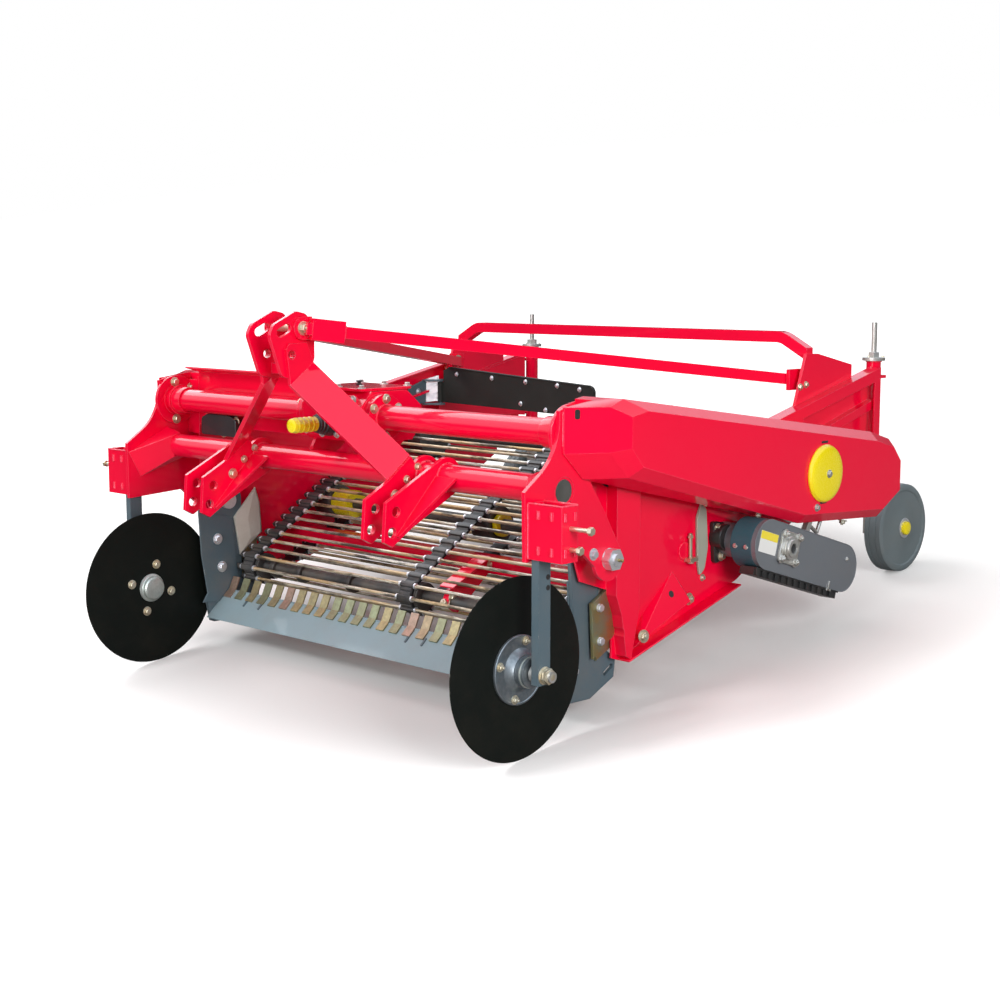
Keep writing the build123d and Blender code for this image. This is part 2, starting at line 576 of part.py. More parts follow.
with BuildPart() as scrapers:
    for _, side in SIDES:
        with BuildSketch(Plane.YZ.offset(side * (ARM_IN + ARM_T + FIT))):
            with BuildLine():
                Polyline((405, -255), (505, -205), (512, -330), (500, -386), (416, -425), close=True)
            make_face()
            with Locations(ROLLERS["front"][:2]):
                Circle(SHAFT_R + FIT, mode=Mode.SUBTRACT)
        extrude(amount=side * 8)
keep("shaft_carriers", scrapers.part)

with BuildPart() as guards:
    for _, side in SIDES:
        with BuildSketch(Plane.YZ.offset(side * (ARM_IN - FIT))):
            with BuildLine():
                Polyline((401, -184), (494, -89), (511, -141), (519, -246), (425, -316), close=True)
            make_face()
        extrude(amount=-side * 5)
keep("side_guards", guards.part)

BLADE_HALF = ARM_IN - FIT
bevel = TIP + DIG * 14 - DIG_NORMAL * BLADE_T
blade_outline = [(point.X, point.Y) for point in (TIP, BACK, BACK - DIG_NORMAL * BLADE_T, bevel)]
keep("share_blade", plate(blade_outline, -BLADE_HALF, BLADE_HALF))

heel = BACK + DIG_NORMAL * FIT
lift = Vector(cos(radians(65)), sin(radians(65)))
lift_normal = Vector(-lift.Y, lift.X)
finger_outline = [(point.X, point.Y) for point in (
    heel - DIG * 36, heel, heel + lift * 44, heel + lift * 44 + lift_normal * FINGER_T,
    heel + (DIG_NORMAL + lift_normal) * (FINGER_T / 2), heel - DIG * 36 + DIG_NORMAL * FINGER_T)]
FINGER_PITCH = (2 * BLADE_HALF - FINGER_W - 20) / (FINGERS - 1)
with BuildPart() as fingers:
    for index in range(FINGERS):
        middle = (index - (FINGERS - 1) / 2) * FINGER_PITCH
        with BuildSketch(Plane.YZ.offset(middle - FINGER_W / 2)):
            with BuildLine():
                Polyline(*finger_outline, close=True)
            make_face()
        extrude(amount=FINGER_W)
keep("share_fingers", fingers.part)

# ---------------------------------------------------------------- rod web


def loop_runs(extra):
    """Straight runs of the web's path, extra outside the rollers: (start, end, normal angle)."""
    rollers = list(ROLLERS.values())
    runs = []
    for (y1, z1, r1), (y2, z2, r2) in zip(rollers, rollers[1:] + rollers[:1]):
        span = hypot(y2 - y1, z2 - z1)
        angle = atan2(z2 - z1, y2 - y1) + pi / 2 - asin((r1 - r2) / span)
        start = (y1 + (r1 + extra) * cos(angle), z1 + (r1 + extra) * sin(angle))
        end = (y2 + (r2 + extra) * cos(angle), z2 + (r2 + extra) * sin(angle))
        runs.append((start, end, angle))
    return runs


def loop_arcs(extra):
    """Arcs round the rollers that join the runs: (y, z, radius, first angle, turned angle)."""
    runs = loop_runs(extra)
    arcs = []
    for (y, z, radius), before, after in zip(ROLLERS.values(), runs[-1:] + runs[:-1], runs):
        turned = (before[2] - after[2]) % (2 * pi)
        arcs.append((y, z, radius + extra, before[2], turned))
    return arcs


def loop_outline(extra):
    """Draw the closed path in the current line builder."""
    for start, end, _ in loop_runs(extra):
        Line(start, end)
    for y, z, radius, first, turned in loop_arcs(extra):
        ends = [(y + radius * cos(first - part), z + radius * sin(first - part))
                for part in (0, turned / 2, turned)]
        ThreePointArc(*ends)


def loop_stations(extra, pitch):
    """Evenly spaced points (y, z) along the closed path."""
    pieces_of_path = []
    for (y, z, radius, first, turned), (start, end, _) in zip(loop_arcs(extra), loop_runs(extra)):
        pieces_of_path.append((radius * turned, lambda t, y=y, z=z, r=radius, a=first, w=turned: (
            y + r * cos(a - w * t), z + r * sin(a - w * t))))
        length = hypot(end[0] - start[0], end[1] - start[1])
        pieces_of_path.append((length, lambda t, s=start, e=end: (
            s[0] + (e[0] - s[0]) * t, s[1] + (e[1] - s[1]) * t)))
    total = sum(length for length, _ in pieces_of_path)
    count = round(total / pitch)
    stations = []
    for index in range(count):
        rest = (index + 0.5) * total / count
        for length, point in pieces_of_path:
            if rest <= length:
                stations.append(point(rest / length))
                break
            rest -= length
    return stations


with BuildPart() as web:
    for belt_x in BELTS_X:
        with BuildSketch(Plane.YZ.offset(belt_x - BELT_W / 2)):
            with BuildLine():
                loop_outline(BELT_T)
            make_face()
            with BuildLine():
                loop_outline(0)
            make_face(mode=Mode.SUBTRACT)
        extrude(amount=BELT_W)
    with BuildSketch(Plane.YZ.offset(-ROD_HALF)):
        with Locations(*loop_stations(BELT_T, ROD_PITCH)):
            Circle(ROD_R)
    extrude(amount=2 * ROD_HALF)
keep("rod_web", web.part)

for name, (y, z, radius) in ROLLERS.items():
    with BuildPart() as roller:
        with BuildSketch(Plane.YZ.offset(-WALL_OUT)):
            with Locations((y, z)):
                Circle(SHAFT_R)
        extrude(amount=2 * WALL_OUT)
        for belt_x in BELTS_X:
            with BuildSketch(Plane.YZ.offset(belt_x - BELT_W / 2 - 6)):
                with Locations((y, z)):
                    Circle(radius - FIT)
            extrude(amount=BELT_W + 12)
    keep(f"web_{name}_rollers", roller.part)

with BuildPart() as frame:
    with BuildSketch(Plane.YZ.offset(-(WALL_IN - FIT))):
        with Locations((CROSS_Y, CROSS_Z)):
            Rectangle(CROSS_SIZE, CROSS_SIZE)
            Rectangle(CROSS_SIZE - 10, CROSS_SIZE - 10, mode=Mode.SUBTRACT)
    extrude(amount=2 * (WALL_IN - FIT))
    with BuildSketch(Plane.YZ.offset(SPINE_X)):
        with BuildLine():
            Polyline((CROSS_Y - CROSS_SIZE / 2, CROSS_Z + 20), (CROSS_Y - CROSS_SIZE / 2, CROSS_Z - 20),
                     (ROLLERS["front"][0] + 14, ROLLERS["front"][1] - 34),
                     (ROLLERS["front"][0] - 30, ROLLERS["front"][1]),
                     (ROLLERS["front"][0] - 14, ROLLERS["front"][1] + 34), close=True)
        make_face()
        with Locations(ROLLERS["front"][:2]):
            Circle(SHAFT_R + FIT, mode=Mode.SUBTRACT)
    extrude(amount=SPINE_T)
keep("web_frame", frame.part)

# ---------------------------------------------------------------- lower chain guard on the left
GUARD_LENGTH = hypot(GUARD_REAR[0] - GUARD_FRONT[0], GUARD_REAR[1] - GUARD_FRONT[1])
GUARD_ANGLE = degrees(atan2(GUARD_REAR[1] - GUARD_FRONT[1], GUARD_REAR[0] - GUARD_FRONT[0]))
GUARD_MIDDLE = ((GUARD_FRONT[0] + GUARD_REAR[0]) / 2, (GUARD_FRONT[1] + GUARD_REAR[1]) / 2)
with BuildPart() as chain_guard:
    with BuildSketch(Plane.YZ.offset(GUARD_IN)):
        with Locations(GUARD_MIDDLE):
            SlotCenterToCenter(GUARD_LENGTH, 2 * GUARD_R, rotation=GUARD_ANGLE)
    extrude(amount=GUARD_OUT - GUARD_IN)
    with BuildSketch(Plane.YZ.offset(WALL_OUT + FIT)):
        with Locations(GUARD_FRONT):
            Circle(52)
    extrude(amount=GUARD_IN - WALL_OUT - FIT)
keep("lower_chain_guard", chain_guard.part)

with BuildPart() as strip:
    with BuildSketch(Plane(origin=(GUARD_IN + 28, *GUARD_MIDDLE), x_dir=(0, cos(radians(GUARD_ANGLE)),
                           sin(radians(GUARD_ANGLE))), z_dir=(1, 0, 0))):
        with Locations((-20, -GUARD_R - FIT - 12)):
            Rectangle(GUARD_LENGTH + 40, 24)
    extrude(amount=50)
keep("guard_strip", strip.part)

LINK_X, LINK_T = GUARD_IN + 38, 18.0
LINK_OUTLINE = ((1216, -136.3), (1238, -142.9), (1256, -109.3), (1236, -108.2))
keep("tension_link", plate(LINK_OUTLINE, LINK_X, LINK_X + LINK_T))

# ---------------------------------------------------------------- top rail and gussets
with BuildPart() as rail:
    with BuildLine(Plane.XZ.offset(-RAIL_Y)) as rail_path:
        FilletPolyline((-RAIL_END, RAIL_FOOT_Z), (-RAIL_BEND, RAIL_Z), (RAIL_BEND, RAIL_Z),
                       (RAIL_END, RAIL_FOOT_Z), radius=RAIL_TURN_R)
    with BuildSketch(Plane(origin=rail_path.line @ 0, x_dir=(0, 1, 0), z_dir=rail_path.line % 0)):
        Rectangle(RAIL_SIZE, RAIL_SIZE)
    sweep(path=rail_path.line)
    split(bisect_by=Plane.YZ.offset(GUSSET_FACE - FIT), keep=Keep.BOTTOM)
    split(bisect_by=Plane.YZ.offset(-(GUSSET_FACE - FIT)), keep=Keep.TOP)
keep("top_rail", rail.part)

GUSSET_FRONT, GUSSET_REAR = RAIL_Y - 90, RAIL_Y + 233
with BuildPart() as gussets:
    for _, side in SIDES:
        with BuildSketch(Plane.YZ.offset(side * GUSSET_FACE)):
            with BuildLine():
                Polyline((GUSSET_FRONT, top_line(GUSSET_FRONT) + FIT), (RAIL_Y - 32, 390), (RAIL_Y + 34, 388),
                         (GUSSET_REAR, 346), (GUSSET_REAR, top_line(GUSSET_REAR) + FIT), close=True)
            make_face()
        extrude(amount=side * GUSSET_T)
keep("rail_gussets", gussets.part)

# ---------------------------------------------------------------- rear posts, legs and wheels
for side_name, side in SIDES:
    with BuildPart() as post:
        with BuildSketch(Plane.XY.offset(POST_BOTTOM)):
            with Locations((side * POST_X, POST_Y)):
                Circle(POST_R)
        extrude(amount=POST_TOP - POST_BOTTOM)
        for z in POST_LUGS:
            with BuildSketch(Plane.XY.offset(z)):
                with Locations((side * (POST_X + WALL_OUT) / 2, (WALL_REAR + FIT + POST_Y) / 2)):
                    Rectangle(WALL_OUT - POST_X, POST_Y - WALL_REAR - FIT)
            extrude(amount=POST_LUG_T)
        with BuildSketch(Plane.XY.offset(POST_BOTTOM)):
            with Locations((side * POST_X, POST_Y)):
                Circle(POST_R - POST_WALL)
        extrude(amount=POST_TOP - POST_BOTTOM, mode=Mode.SUBTRACT)
    keep(f"rear_post_{side_name}", post.part)

with BuildPart() as nuts:
    for _, side in SIDES:
        with BuildSketch(Plane.XY.offset(POST_TOP + FIT)):
            with Locations((side * POST_X, POST_Y)):
                Circle(NUT_R)
        extrude(amount=NUT_T)
        with BuildSketch(Plane.XY.offset(POST_TOP + FIT + NUT_T)):
            with Locations((side * POST_X, POST_Y)):
                RegularPolygon(20, 6)
        extrude(amount=18)
        with BuildSketch(Plane.XY.offset(POST_TOP)):
            with Locations((side * POST_X, POST_Y)):
                Circle(SCREW_R + SLIDE)
        extrude(amount=50, mode=Mode.SUBTRACT)
keep("jack_nuts", nuts.part)

leg_r = POST_R - POST_WALL - SLIDE
for side_name, side in SIDES:
    with BuildPart() as wheel_leg:
        with BuildSketch(Plane.XY.offset(WHEEL_Z - 22)):
            with Locations((side * POST_X, POST_Y)):
                Circle(leg_r)
        extrude(amount=LEG_TOP_Z - WHEEL_Z + 22)
        with BuildSketch(Plane.XY.offset(WHEEL_Z - 22)):
            with Locations((side * POST_X, POST_Y)):
                Circle(SCREW_R)
        extrude(amount=SCREW_TOP - WHEEL_Z + 22)
        with BuildSketch(Plane.XY.offset(WHEEL_Z - 22)):
            with Locations((side * POST_X, (POST_Y + WHEEL_Y + 22) / 2)):
                Rectangle(26, WHEEL_Y + 22 - POST_Y)
        extrude(amount=44)
        with BuildSketch(Plane.YZ.offset(side * POST_X)):
            with Locations((WHEEL_Y, WHEEL_Z)):
                Circle(AXLE_R)
        extrude(amount=side * (WHEEL_X + WHEEL_W / 2 + 4 - POST_X))
    keep(f"wheel_leg_{side_name}", wheel_leg.part)

    with BuildPart() as wheel:
        with BuildSketch(Plane.YZ.offset(side * (WHEEL_X - WHEEL_W / 2))):
            with Locations((WHEEL_Y, WHEEL_Z)):
                Circle(WHEEL_R)
        extrude(amount=side * WHEEL_W)
        fillet(wheel.edges().filter_by(GeomType.CIRCLE), 9)
        with BuildSketch(Plane.YZ.offset(side * (WHEEL_X + WHEEL_W / 2))):
            with Locations((WHEEL_Y, WHEEL_Z)):
                Circle(24)
        extrude(amount=side * 12)
        with BuildSketch(Plane.YZ.offset(side * (WHEEL_X - WHEEL_W / 2))):
            with Locations((WHEEL_Y, WHEEL_Z)):
                Circle(AXLE_R + RUN)
        extrude(amount=side * (WHEEL_W + 6), mode=Mode.SUBTRACT)
    keep(f"rear_wheel_{side_name}", wheel.part)

# ---------------------------------------------------------------- swath board on the right
with BuildPart() as bracket:
    with BuildSketch(Plane.YZ.offset(-(WALL_IN - FIT))):
        with Locations((HINGE_Y - 75, 160)):
            Rectangle(110, 26)
    extrude(amount=20)
    for z in (BRACKET_LOW, BRACKET_TOP):
        with BuildSketch(Plane.XY.offset(z)):
            with BuildLine():
                Polyline((-(WALL_IN - FIT), HINGE_Y - 130), (-(WALL_IN - FIT), HINGE_Y - 20),
                         (HINGE_X - 8, HINGE_Y + 16), (HINGE_X + 14, HINGE_Y + 8),
                         (HINGE_X + 14, HINGE_Y - 16),
                         (HINGE_X - 14, HINGE_Y - 130), close=True)
            make_face()
        extrude(amount=BRACKET_T)
    with BuildSketch(Plane.YZ.offset(HINGE_X - 34)):
        with Locations((HINGE_Y - 90, (BRACKET_LOW + BRACKET_TOP + BRACKET_T) / 2)):
            Rectangle(80, BRACKET_TOP + BRACKET_T - BRACKET_LOW)
    extrude(amount=BRACKET_T)
    with BuildSketch(Plane.XY.offset(BRACKET_LOW)):
        with Locations((HINGE_X, HINGE_Y)):
            Circle(HINGE_R)
    extrude(amount=BRACKET_TOP + BRACKET_T - BRACKET_LOW)
keep("swath_bracket", bracket.part)

with BuildPart() as board:
    swing = Vector(cos(radians(BOARD_ANGLE)), sin(radians(BOARD_ANGLE)), 0)
    with BuildSketch(Plane(origin=(HINGE_X, HINGE_Y, 0), x_dir=swing,
                           z_dir=swing.cross(Vector(0, 0, 1)))) as board_side:
        with BuildLine():
            Polyline((0, BOARD_BOTTOM), (BOARD_LENGTH, BOARD_BOTTOM + 6), (BOARD_LENGTH, BOARD_TOP - 13),
                     (64, BOARD_TOP + 10), (26, BOARD_TOP - 4), (26, KNUCKLE_TOP), (0, KNUCKLE_TOP),
                     close=True)
        make_face()
        fillet(board_side.vertices().sort_by(Axis.X)[-2:], BOARD_ROUND)
    extrude(amount=BOARD_T / 2, both=True)
    with BuildSketch(Plane.XY.offset(BOARD_BOTTOM)):
        with Locations((HINGE_X, HINGE_Y)):
            Circle(KNUCKLE_R)
    extrude(amount=KNUCKLE_TOP - BOARD_BOTTOM)
    with BuildSketch(Plane.XY.offset(BOARD_BOTTOM)):
        with Locations((HINGE_X, HINGE_Y)):
            Circle(HINGE_R + RUN)
    extrude(amount=BOARD_TOP - BOARD_BOTTOM, mode=Mode.SUBTRACT)
keep("swath_board", board.part)

# ---------------------------------------------------------------- parked attitude and export
boxes = [(TILT * part).bounding_box() for part in pieces.values()]
ground = min(box.min.Z for box in boxes)
middle = (min(box.min.Y for box in boxes) + max(box.max.Y for box in boxes)) / 2
PARKED = Location((0, -middle, -ground)) * TILT

for name, part in pieces.items():
    parked = PARKED * part
    parked.label = name
    export_step(parked, f"parts/{name}.step")
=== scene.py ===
"""Looks of the two-row potato digger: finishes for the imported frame, and the bolts, nuts, web rings,
blank labels, welds and covers that stand on it.

Small pieces are laid out in the level frame of the machine, in millimetres: x to its left, y to the
rear, z up, zero midway between the lower hitch pins. place() carries them to the parked frame.
"""
import json
from math import radians

import bpy
import numpy as np
from mathutils import Matrix


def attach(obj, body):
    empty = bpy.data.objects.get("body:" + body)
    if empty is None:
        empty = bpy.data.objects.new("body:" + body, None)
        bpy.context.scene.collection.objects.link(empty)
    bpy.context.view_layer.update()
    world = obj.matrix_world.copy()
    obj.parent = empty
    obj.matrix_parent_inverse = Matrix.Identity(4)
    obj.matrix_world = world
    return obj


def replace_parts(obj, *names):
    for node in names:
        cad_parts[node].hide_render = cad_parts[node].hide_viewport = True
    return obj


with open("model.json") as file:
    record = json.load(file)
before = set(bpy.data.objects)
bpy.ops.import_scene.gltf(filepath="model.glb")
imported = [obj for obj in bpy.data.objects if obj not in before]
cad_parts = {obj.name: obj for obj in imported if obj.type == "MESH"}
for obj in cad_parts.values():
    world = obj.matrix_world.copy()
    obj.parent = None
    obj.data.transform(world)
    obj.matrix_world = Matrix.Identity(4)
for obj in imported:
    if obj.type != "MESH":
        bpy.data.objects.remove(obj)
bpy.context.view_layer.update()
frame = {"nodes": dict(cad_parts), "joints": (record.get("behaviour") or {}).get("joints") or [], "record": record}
nodes = frame["nodes"]
record = frame["record"]

# -------- the level frame, from the record
LEG_SLIDE = next(joint for joint in frame["joints"] if joint["name"] == "left_wheel_lift")
HITCH = next(mount for mount in record["mounts"] if mount["name"] == "lower_hitch")
UP = np.array(LEG_SLIDE["axis"])
AXES = np.array([(1, 0, 0), (0, UP[2], -UP[1]), UP])
ORIGIN = np.array(HITCH["pos_m"])
SIDES = (("left", 1), ("right", -1))
X, Y, Z, INWARD, FORWARD, DOWN = (1, 0, 0), (0, 1, 0), (0, 0, 1), (-1, 0, 0), (0, -1, 0), (0, 0, -1)


def place(points):
    """Level millimetres to parked metres: p / 1000 times the three level axes, plus the hitch origin."""
    return np.asarray(points, float) / 1000 @ AXES + ORIGIN


def flip(side, point):
    """A left-hand point or direction (x, y, z) as it is on the side: x times the side's sign."""
    return side * point[0], point[1], point[2]


# -------- shapes: (vertices, faces) in level mm
def floats(values):
    """The values as an array of floats."""
    return np.asarray(values, float)


def unit(vector):
    """The vector over its own length, along the last axis."""
    return floats(vector) / np.linalg.norm(vector, axis=-1, keepdims=True)


def box(across, up):
    """Corners of a rectangle from its two ends each way."""
    (a, b), (c, d) = across, up
    return [(a, c), (b, c), (b, d), (a, d)]


def polar(angle):
    """Unit steps (cos, sin) at the angles."""
    return np.stack([np.cos(angle), np.sin(angle)], -1)


def full_turn(count):
    """Angles evenly spaced round one turn."""
    return np.linspace(0, 2 * np.pi, count, endpoint=False)


def skin(rings, loop=False):
    """Closed surface through rings[i, j]: i runs along, j round; quads join neighbours in both, and flat
    faces close the two ends unless the last ring joins the first. Turned outwards by its signed volume."""
    rings = floats(rings)
    count, around = rings.shape[:2]
    index = np.arange(count * around).reshape(count, around)
    ahead = np.roll(index, -1, 0) if loop else index[1:]
    here = index if loop else index[:-1]
    quads = np.stack([here, np.roll(here, -1, 1), np.roll(ahead, -1, 1), ahead], -1).reshape(-1, 4)
    vertices = rings.reshape(-1, 3)
    a, b, c, d = (vertices[quads[:, k]] - vertices.mean(0) for k in range(4))
    volume = np.sum(a * np.cross(b, c)) + np.sum(a * np.cross(c, d))
    ends = [] if loop else [index[0][::-1].tolist(), index[-1].tolist()]
    way = -1 if volume < 0 else 1
    return vertices, quads[:, ::way].tolist() + [end[::way] for end in ends]


def joined(shapes):
    """Several shapes as one list of vertices and faces."""
    faces, start = [], 0
    for points, polygons in shapes:
        faces += [[corner + start for corner in polygon] for polygon in polygons]
        start += len(points)
    return np.concatenate([points for points, _ in shapes]), faces


def frame_about(axis):
    """Two unit vectors square to the axis, the first as level as may be."""
    axis = unit(axis)
    first = unit(np.cross(Z if abs(axis[2]) < 0.9 else Y, axis))
    return first, np.cross(axis, first), axis


def lathe(profile, at, axis, around=32, flats=0, turn=0):
    """Surface of revolution: (height, radius) stations turned about the axis through at. With flats the
    radius is that of a polygon, r cos(pi/n) / cos(angle from the middle of the nearest flat)."""
    profile = floats(profile)[:, None]
    angle = full_turn(around) + turn
    reach = np.ones((around, 1))
    if flats:
        sector = 2 * np.pi / flats
        reach[:, 0] = np.cos(sector / 2) / np.cos((angle - turn) % sector - sector / 2)
    first, second, axis = frame_about(axis)
    spokes = polar(angle) @ np.stack([first, second]) * reach
    return skin(floats(at) + profile[..., :1] * axis + profile[..., 1:] * spokes)


def rod(start, end, radius, around=16, soft=0):
    """Round bar from start to end, its two rims drawn in by soft."""
    axis = np.subtract(end, start)
    length = np.linalg.norm(axis)
    stations = [(0, radius - soft), (soft, radius), (length - soft, radius), (length, radius - soft)]
    return lathe(stations if soft else [(0, radius), (length, radius)], start, axis, around)


def inset(outline, amount):
    """Outline moved inwards: each corner slides along its mitre by amount / sin(half its angle)."""
    before, after = unit(outline - np.roll(outline, 1, 0)), unit(np.roll(outline, -1, 0) - outline)
    area = np.sum(outline[:, 0] * np.roll(outline[:, 1], -1) - np.roll(outline[:, 0], -1) * outline[:, 1])
    left = np.sign(area) * np.stack([-(before + after)[:, 1], (before + after)[:, 0]], -1)
    left /= np.maximum(np.sum((before + after) ** 2, -1, keepdims=True) / 2, 0.3)
    return outline + left * amount


def rounded(outline, radius, steps=4):
    """Outline with each corner replaced by a quadratic arc that starts radius before it."""
    outline = floats(outline)
    before, after = np.roll(outline, 1, 0) - outline, np.roll(outline, -1, 0) - outline
    short = np.minimum(np.linalg.norm(before, axis=1), np.linalg.norm(after, axis=1))
    cut = np.minimum(radius, short * 0.45)[:, None]
    start, end = outline + unit(before) * cut, outline + unit(after) * cut
    t = np.linspace(0, 1, steps + 1)[None, :, None]
    arcs = (1 - t) ** 2 * start[:, None] + 2 * t * (1 - t) * outline[:, None] + t ** 2 * end[:, None]
    return arcs.reshape(-1, 2)


def slab(outline, at, along, up, thick, soft=0.6):
    """Plate: the outline (u, v) in the plane of along and up through at, raised by thick on their cross
    product, with both rims drawn in by soft."""
    outline, along, up = floats(outline), unit(along), unit(up)
    rings = []
    for height, drawn in ((0, soft), (soft, 0), (thick - soft, 0), (thick, soft)):
        flat = inset(outline, drawn) if drawn else outline
        rings.append(floats(at) + flat[:, :1] * along + flat[:, 1:] * up + height * np.cross(along, up))
    return skin(rings)


def side_slab(outline, x_from, x_to, soft=0.6):
    """Plate across x: the outline is (y, z)."""
    way = 1 if x_to > x_from else -1
    return slab(floats(outline) * (way, 1), (x_from, 0, 0), (0, way, 0), Z, abs(x_to - x_from), soft)


def sweep(path, profile, up=Z, loop=False, scale=1):
    """Profile (u, v) carried along a path: u to the path's side, v along up made square to it."""
    path = floats(path)
    tangent = unit(np.roll(path, -1, 0) - np.roll(path, 1, 0) if loop else np.gradient(path, axis=0))
    across = unit(np.cross(tangent, up))
    over = np.cross(across, tangent)
    flat = floats(profile)[None] * (scale * np.ones(len(path)))[:, None, None]
    return skin(path[:, None] + flat[..., :1] * across[:, None] + flat[..., 1:] * over[:, None], loop)


def circle(radius, around=8):
    """Round profile."""
    return radius * polar(full_turn(around))


def bead(path, radius, seed):
    """Weld bead: a round profile along the path whose size ripples with each puddle."""
    path = floats(path)
    along = np.concatenate([[0], np.cumsum(np.linalg.norm(np.diff(path, axis=0), axis=1))])
    count = max(6, int(along[-1] / (radius * 0.9)))
    t = np.linspace(0, along[-1], count)
    points = np.stack([np.interp(t, along, path[:, k]) for k in range(3)], -1)
    ripple = np.random.default_rng(seed).uniform(0.8, 1.15, count)
    ripple *= np.where(np.arange(count) % 2, 1.08, 0.92)
    run = points[-1] - points[0]
    steep = abs(run[2]) >= 0.9 * np.linalg.norm(run)
    return sweep(points, circle(radius, 6), Y if steep else Z, scale=ripple)


def bolt(at, axis, across, head=None, washer=None, stub=0):
    """Hexagon head with a chamfered crown on a round washer; a stub adds the thread that stands out."""
    head = across * 0.55 if head is None else head
    washer = across * 0.85 if washer is None else washer
    half = across / 2 / np.cos(np.pi / 6)
    parts = [lathe([(-0.5, washer), (2, washer), (2.4, washer - 0.6)], at, axis, 20)] if washer else []
    crown = [(2, half), (head + 0.5, half), (head + 2, half * 0.86), (head + 2.1, half * 0.5)]
    parts.append(lathe(crown, at, axis, 12, 6, 0.3))
    if stub:
        radius, end = across * 0.27, head + stub
        parts.append(lathe([(head, radius), (end, radius), (end + 1.5, radius * 0.7)], at, axis, 12))
    return joined(parts)


def bolts(side, points, axis, across, **more):
    """Bolts of one size on one side, their places and axis given as on the left."""
    return [bolt(flip(side, point), flip(side, axis), across, **more) for point in points]


def ring_of(count, radius, first=0):
    """Offsets of holes evenly spaced on a bolt circle."""
    return radius * polar(first + full_turn(count))


def bolt_circle(x, middle, radius, count, axis, across, first, **more):
    """Bolts on a circle in a plane across x."""
    return [bolt((x, middle[0] + a, middle[1] + b), axis, across, **more)
            for a, b in ring_of(count, radius, first)]


def hoop(at, axis, inner, outer, width, around=40, soft=0.8):
    """Flat ring: a rectangle with soft corners carried once round the axis."""
    profile = rounded(box((inner, outer), (-width / 2, width / 2)), soft, 2)
    first, second, axis = frame_about(axis)
    spokes = polar(full_turn(around)) @ np.stack([first, second])
    return skin(floats(at) + profile[:, :1] * spokes[:, None] + profile[:, 1:] * axis, loop=True)


def closed(points, faces):
    """Closed polyhedron with its faces turned outward: reversed where the volume under them is negative."""
    points = floats(points)
    volume = sum(np.dot(points[face[0]], np.cross(points[face[k]], points[face[k + 1]]))
                 for face in faces for k in range(1, len(face) - 1))
    return points, faces if volume > 0 else [face[::-1] for face in faces]


def girth(y, z, radius, x, seed):
    """Weld round a tube where it meets a plate across x."""
    path = (y, z) + radius * polar(np.linspace(0, 2 * np.pi, 60))
    return bead(np.column_stack([np.full(60, x), path]), 3.2, seed)


def copies(shape, offsets, turns=None):
    """One shape repeated at offsets, each copy first turned about x by its own angle."""
    (x, y, z), faces = shape[0].T, shape[1]
    cos, sin = polar(np.zeros(len(offsets)) if turns is None else turns).T[..., None]
    placed = np.stack([x + 0 * cos, cos * y - sin * z, sin * y + cos * z], -1) + offsets[:, None]
    return joined([(points, faces) for points in placed])


# -------- pieces
def piece(name, shapes, material, slot=None, body="frame", crisp=32, bevel=0):
    """Joins shapes, carries them to the parked frame, and hangs the mesh on its body with its finish.
    The slot argument is not used."""
    vertices, faces = joined(shapes)
    mesh = bpy.data.meshes.new(name)
    mesh.from_pydata(place(vertices).tolist(), [], faces)
    mesh.validate()
    mesh.shade_smooth()
    mesh.set_sharp_from_angle(angle=radians(crisp))
    mesh.materials.append(material)
    made = bpy.data.objects.new(name, mesh)
    bpy.context.scene.collection.objects.link(made)
    if bevel:
        rim = made.modifiers.new("rim", "BEVEL")
        rim.width, rim.segments, rim.limit_method = bevel / 1000, 2, "ANGLE"
        rim.angle_limit = radians(crisp)
        rim.harden_normals = False
    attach(made, body)
    return made


def both(name, material, shapes_of, **more):
    """Piece made of the left side's shapes and then the right's, from a function of the side's sign."""
    return piece(name, [shape for _, side in SIDES for shape in shapes_of(side)], material, **more)


# -------- node helpers and shared effects
def give(tree, target, values):
    """Links the values that are sockets to the target's inputs, and sets the others."""
    for key, value in values.items():
        if isinstance(value, bpy.types.NodeSocket):
            tree.links.new(value, target.inputs[key])
        else:
            target.inputs[key].default_value = value


def node(tree, kind, values=None, **settings):
    """Adds a shader node with its settings and inputs, and hands back its outputs."""
    made = tree.nodes.new("ShaderNode" + kind)
    for key, value in settings.items():
        setattr(made, key, value)
    give(tree, made, values or {})
    return made.outputs


def maths(tree, operation, *values):
    """One Math node and its result."""
    return node(tree, "Math", dict(enumerate(values)), operation=operation)[0]


def times(tree, *values):
    """Product of two values."""
    return maths(tree, "MULTIPLY", *values)


def scaled(tree, value, factor, plus):
    """The value times a factor, plus a start."""
    return maths(tree, "MULTIPLY_ADD", value, factor, plus)


def ramp(tree, value, low, high, to_low=0, to_high=1):
    """Smooth step of a value between low and high."""
    given = {"Value": value, "From Min": low, "From Max": high, "To Min": to_low, "To Max": to_high}
    return node(tree, "MapRange", given, interpolation_type="SMOOTHSTEP")[0]


def noise(tree, scale, detail=2, rough=0.5, where=None, squeeze=None):
    """Noise on the object's own coordinates, squeezed along its axes where grain runs one way."""
    spot = where or node(tree, "TexCoord")["Object"]
    if squeeze:
        spot = node(tree, "Mapping", {"Vector": spot, "Scale": squeeze})[0]
    given = {"Vector": spot, "Scale": scale, "Detail": detail, "Roughness": rough}
    return node(tree, "TexNoise", given)["Fac"]


def mix(tree, share, first, second, blend="MIX"):
    """Colour mix; plain colours come as three numbers."""
    first, second = ((*c, 1) if isinstance(c, tuple) else c for c in (first, second))
    return node(tree, "Mix", {0: share, 6: first, 7: second}, data_type="RGBA", blend_type=blend)[2]


SOCKET_KINDS = {"Normal": "Vector", "First": "Color", "Second": "Color", "Color": "Color"}


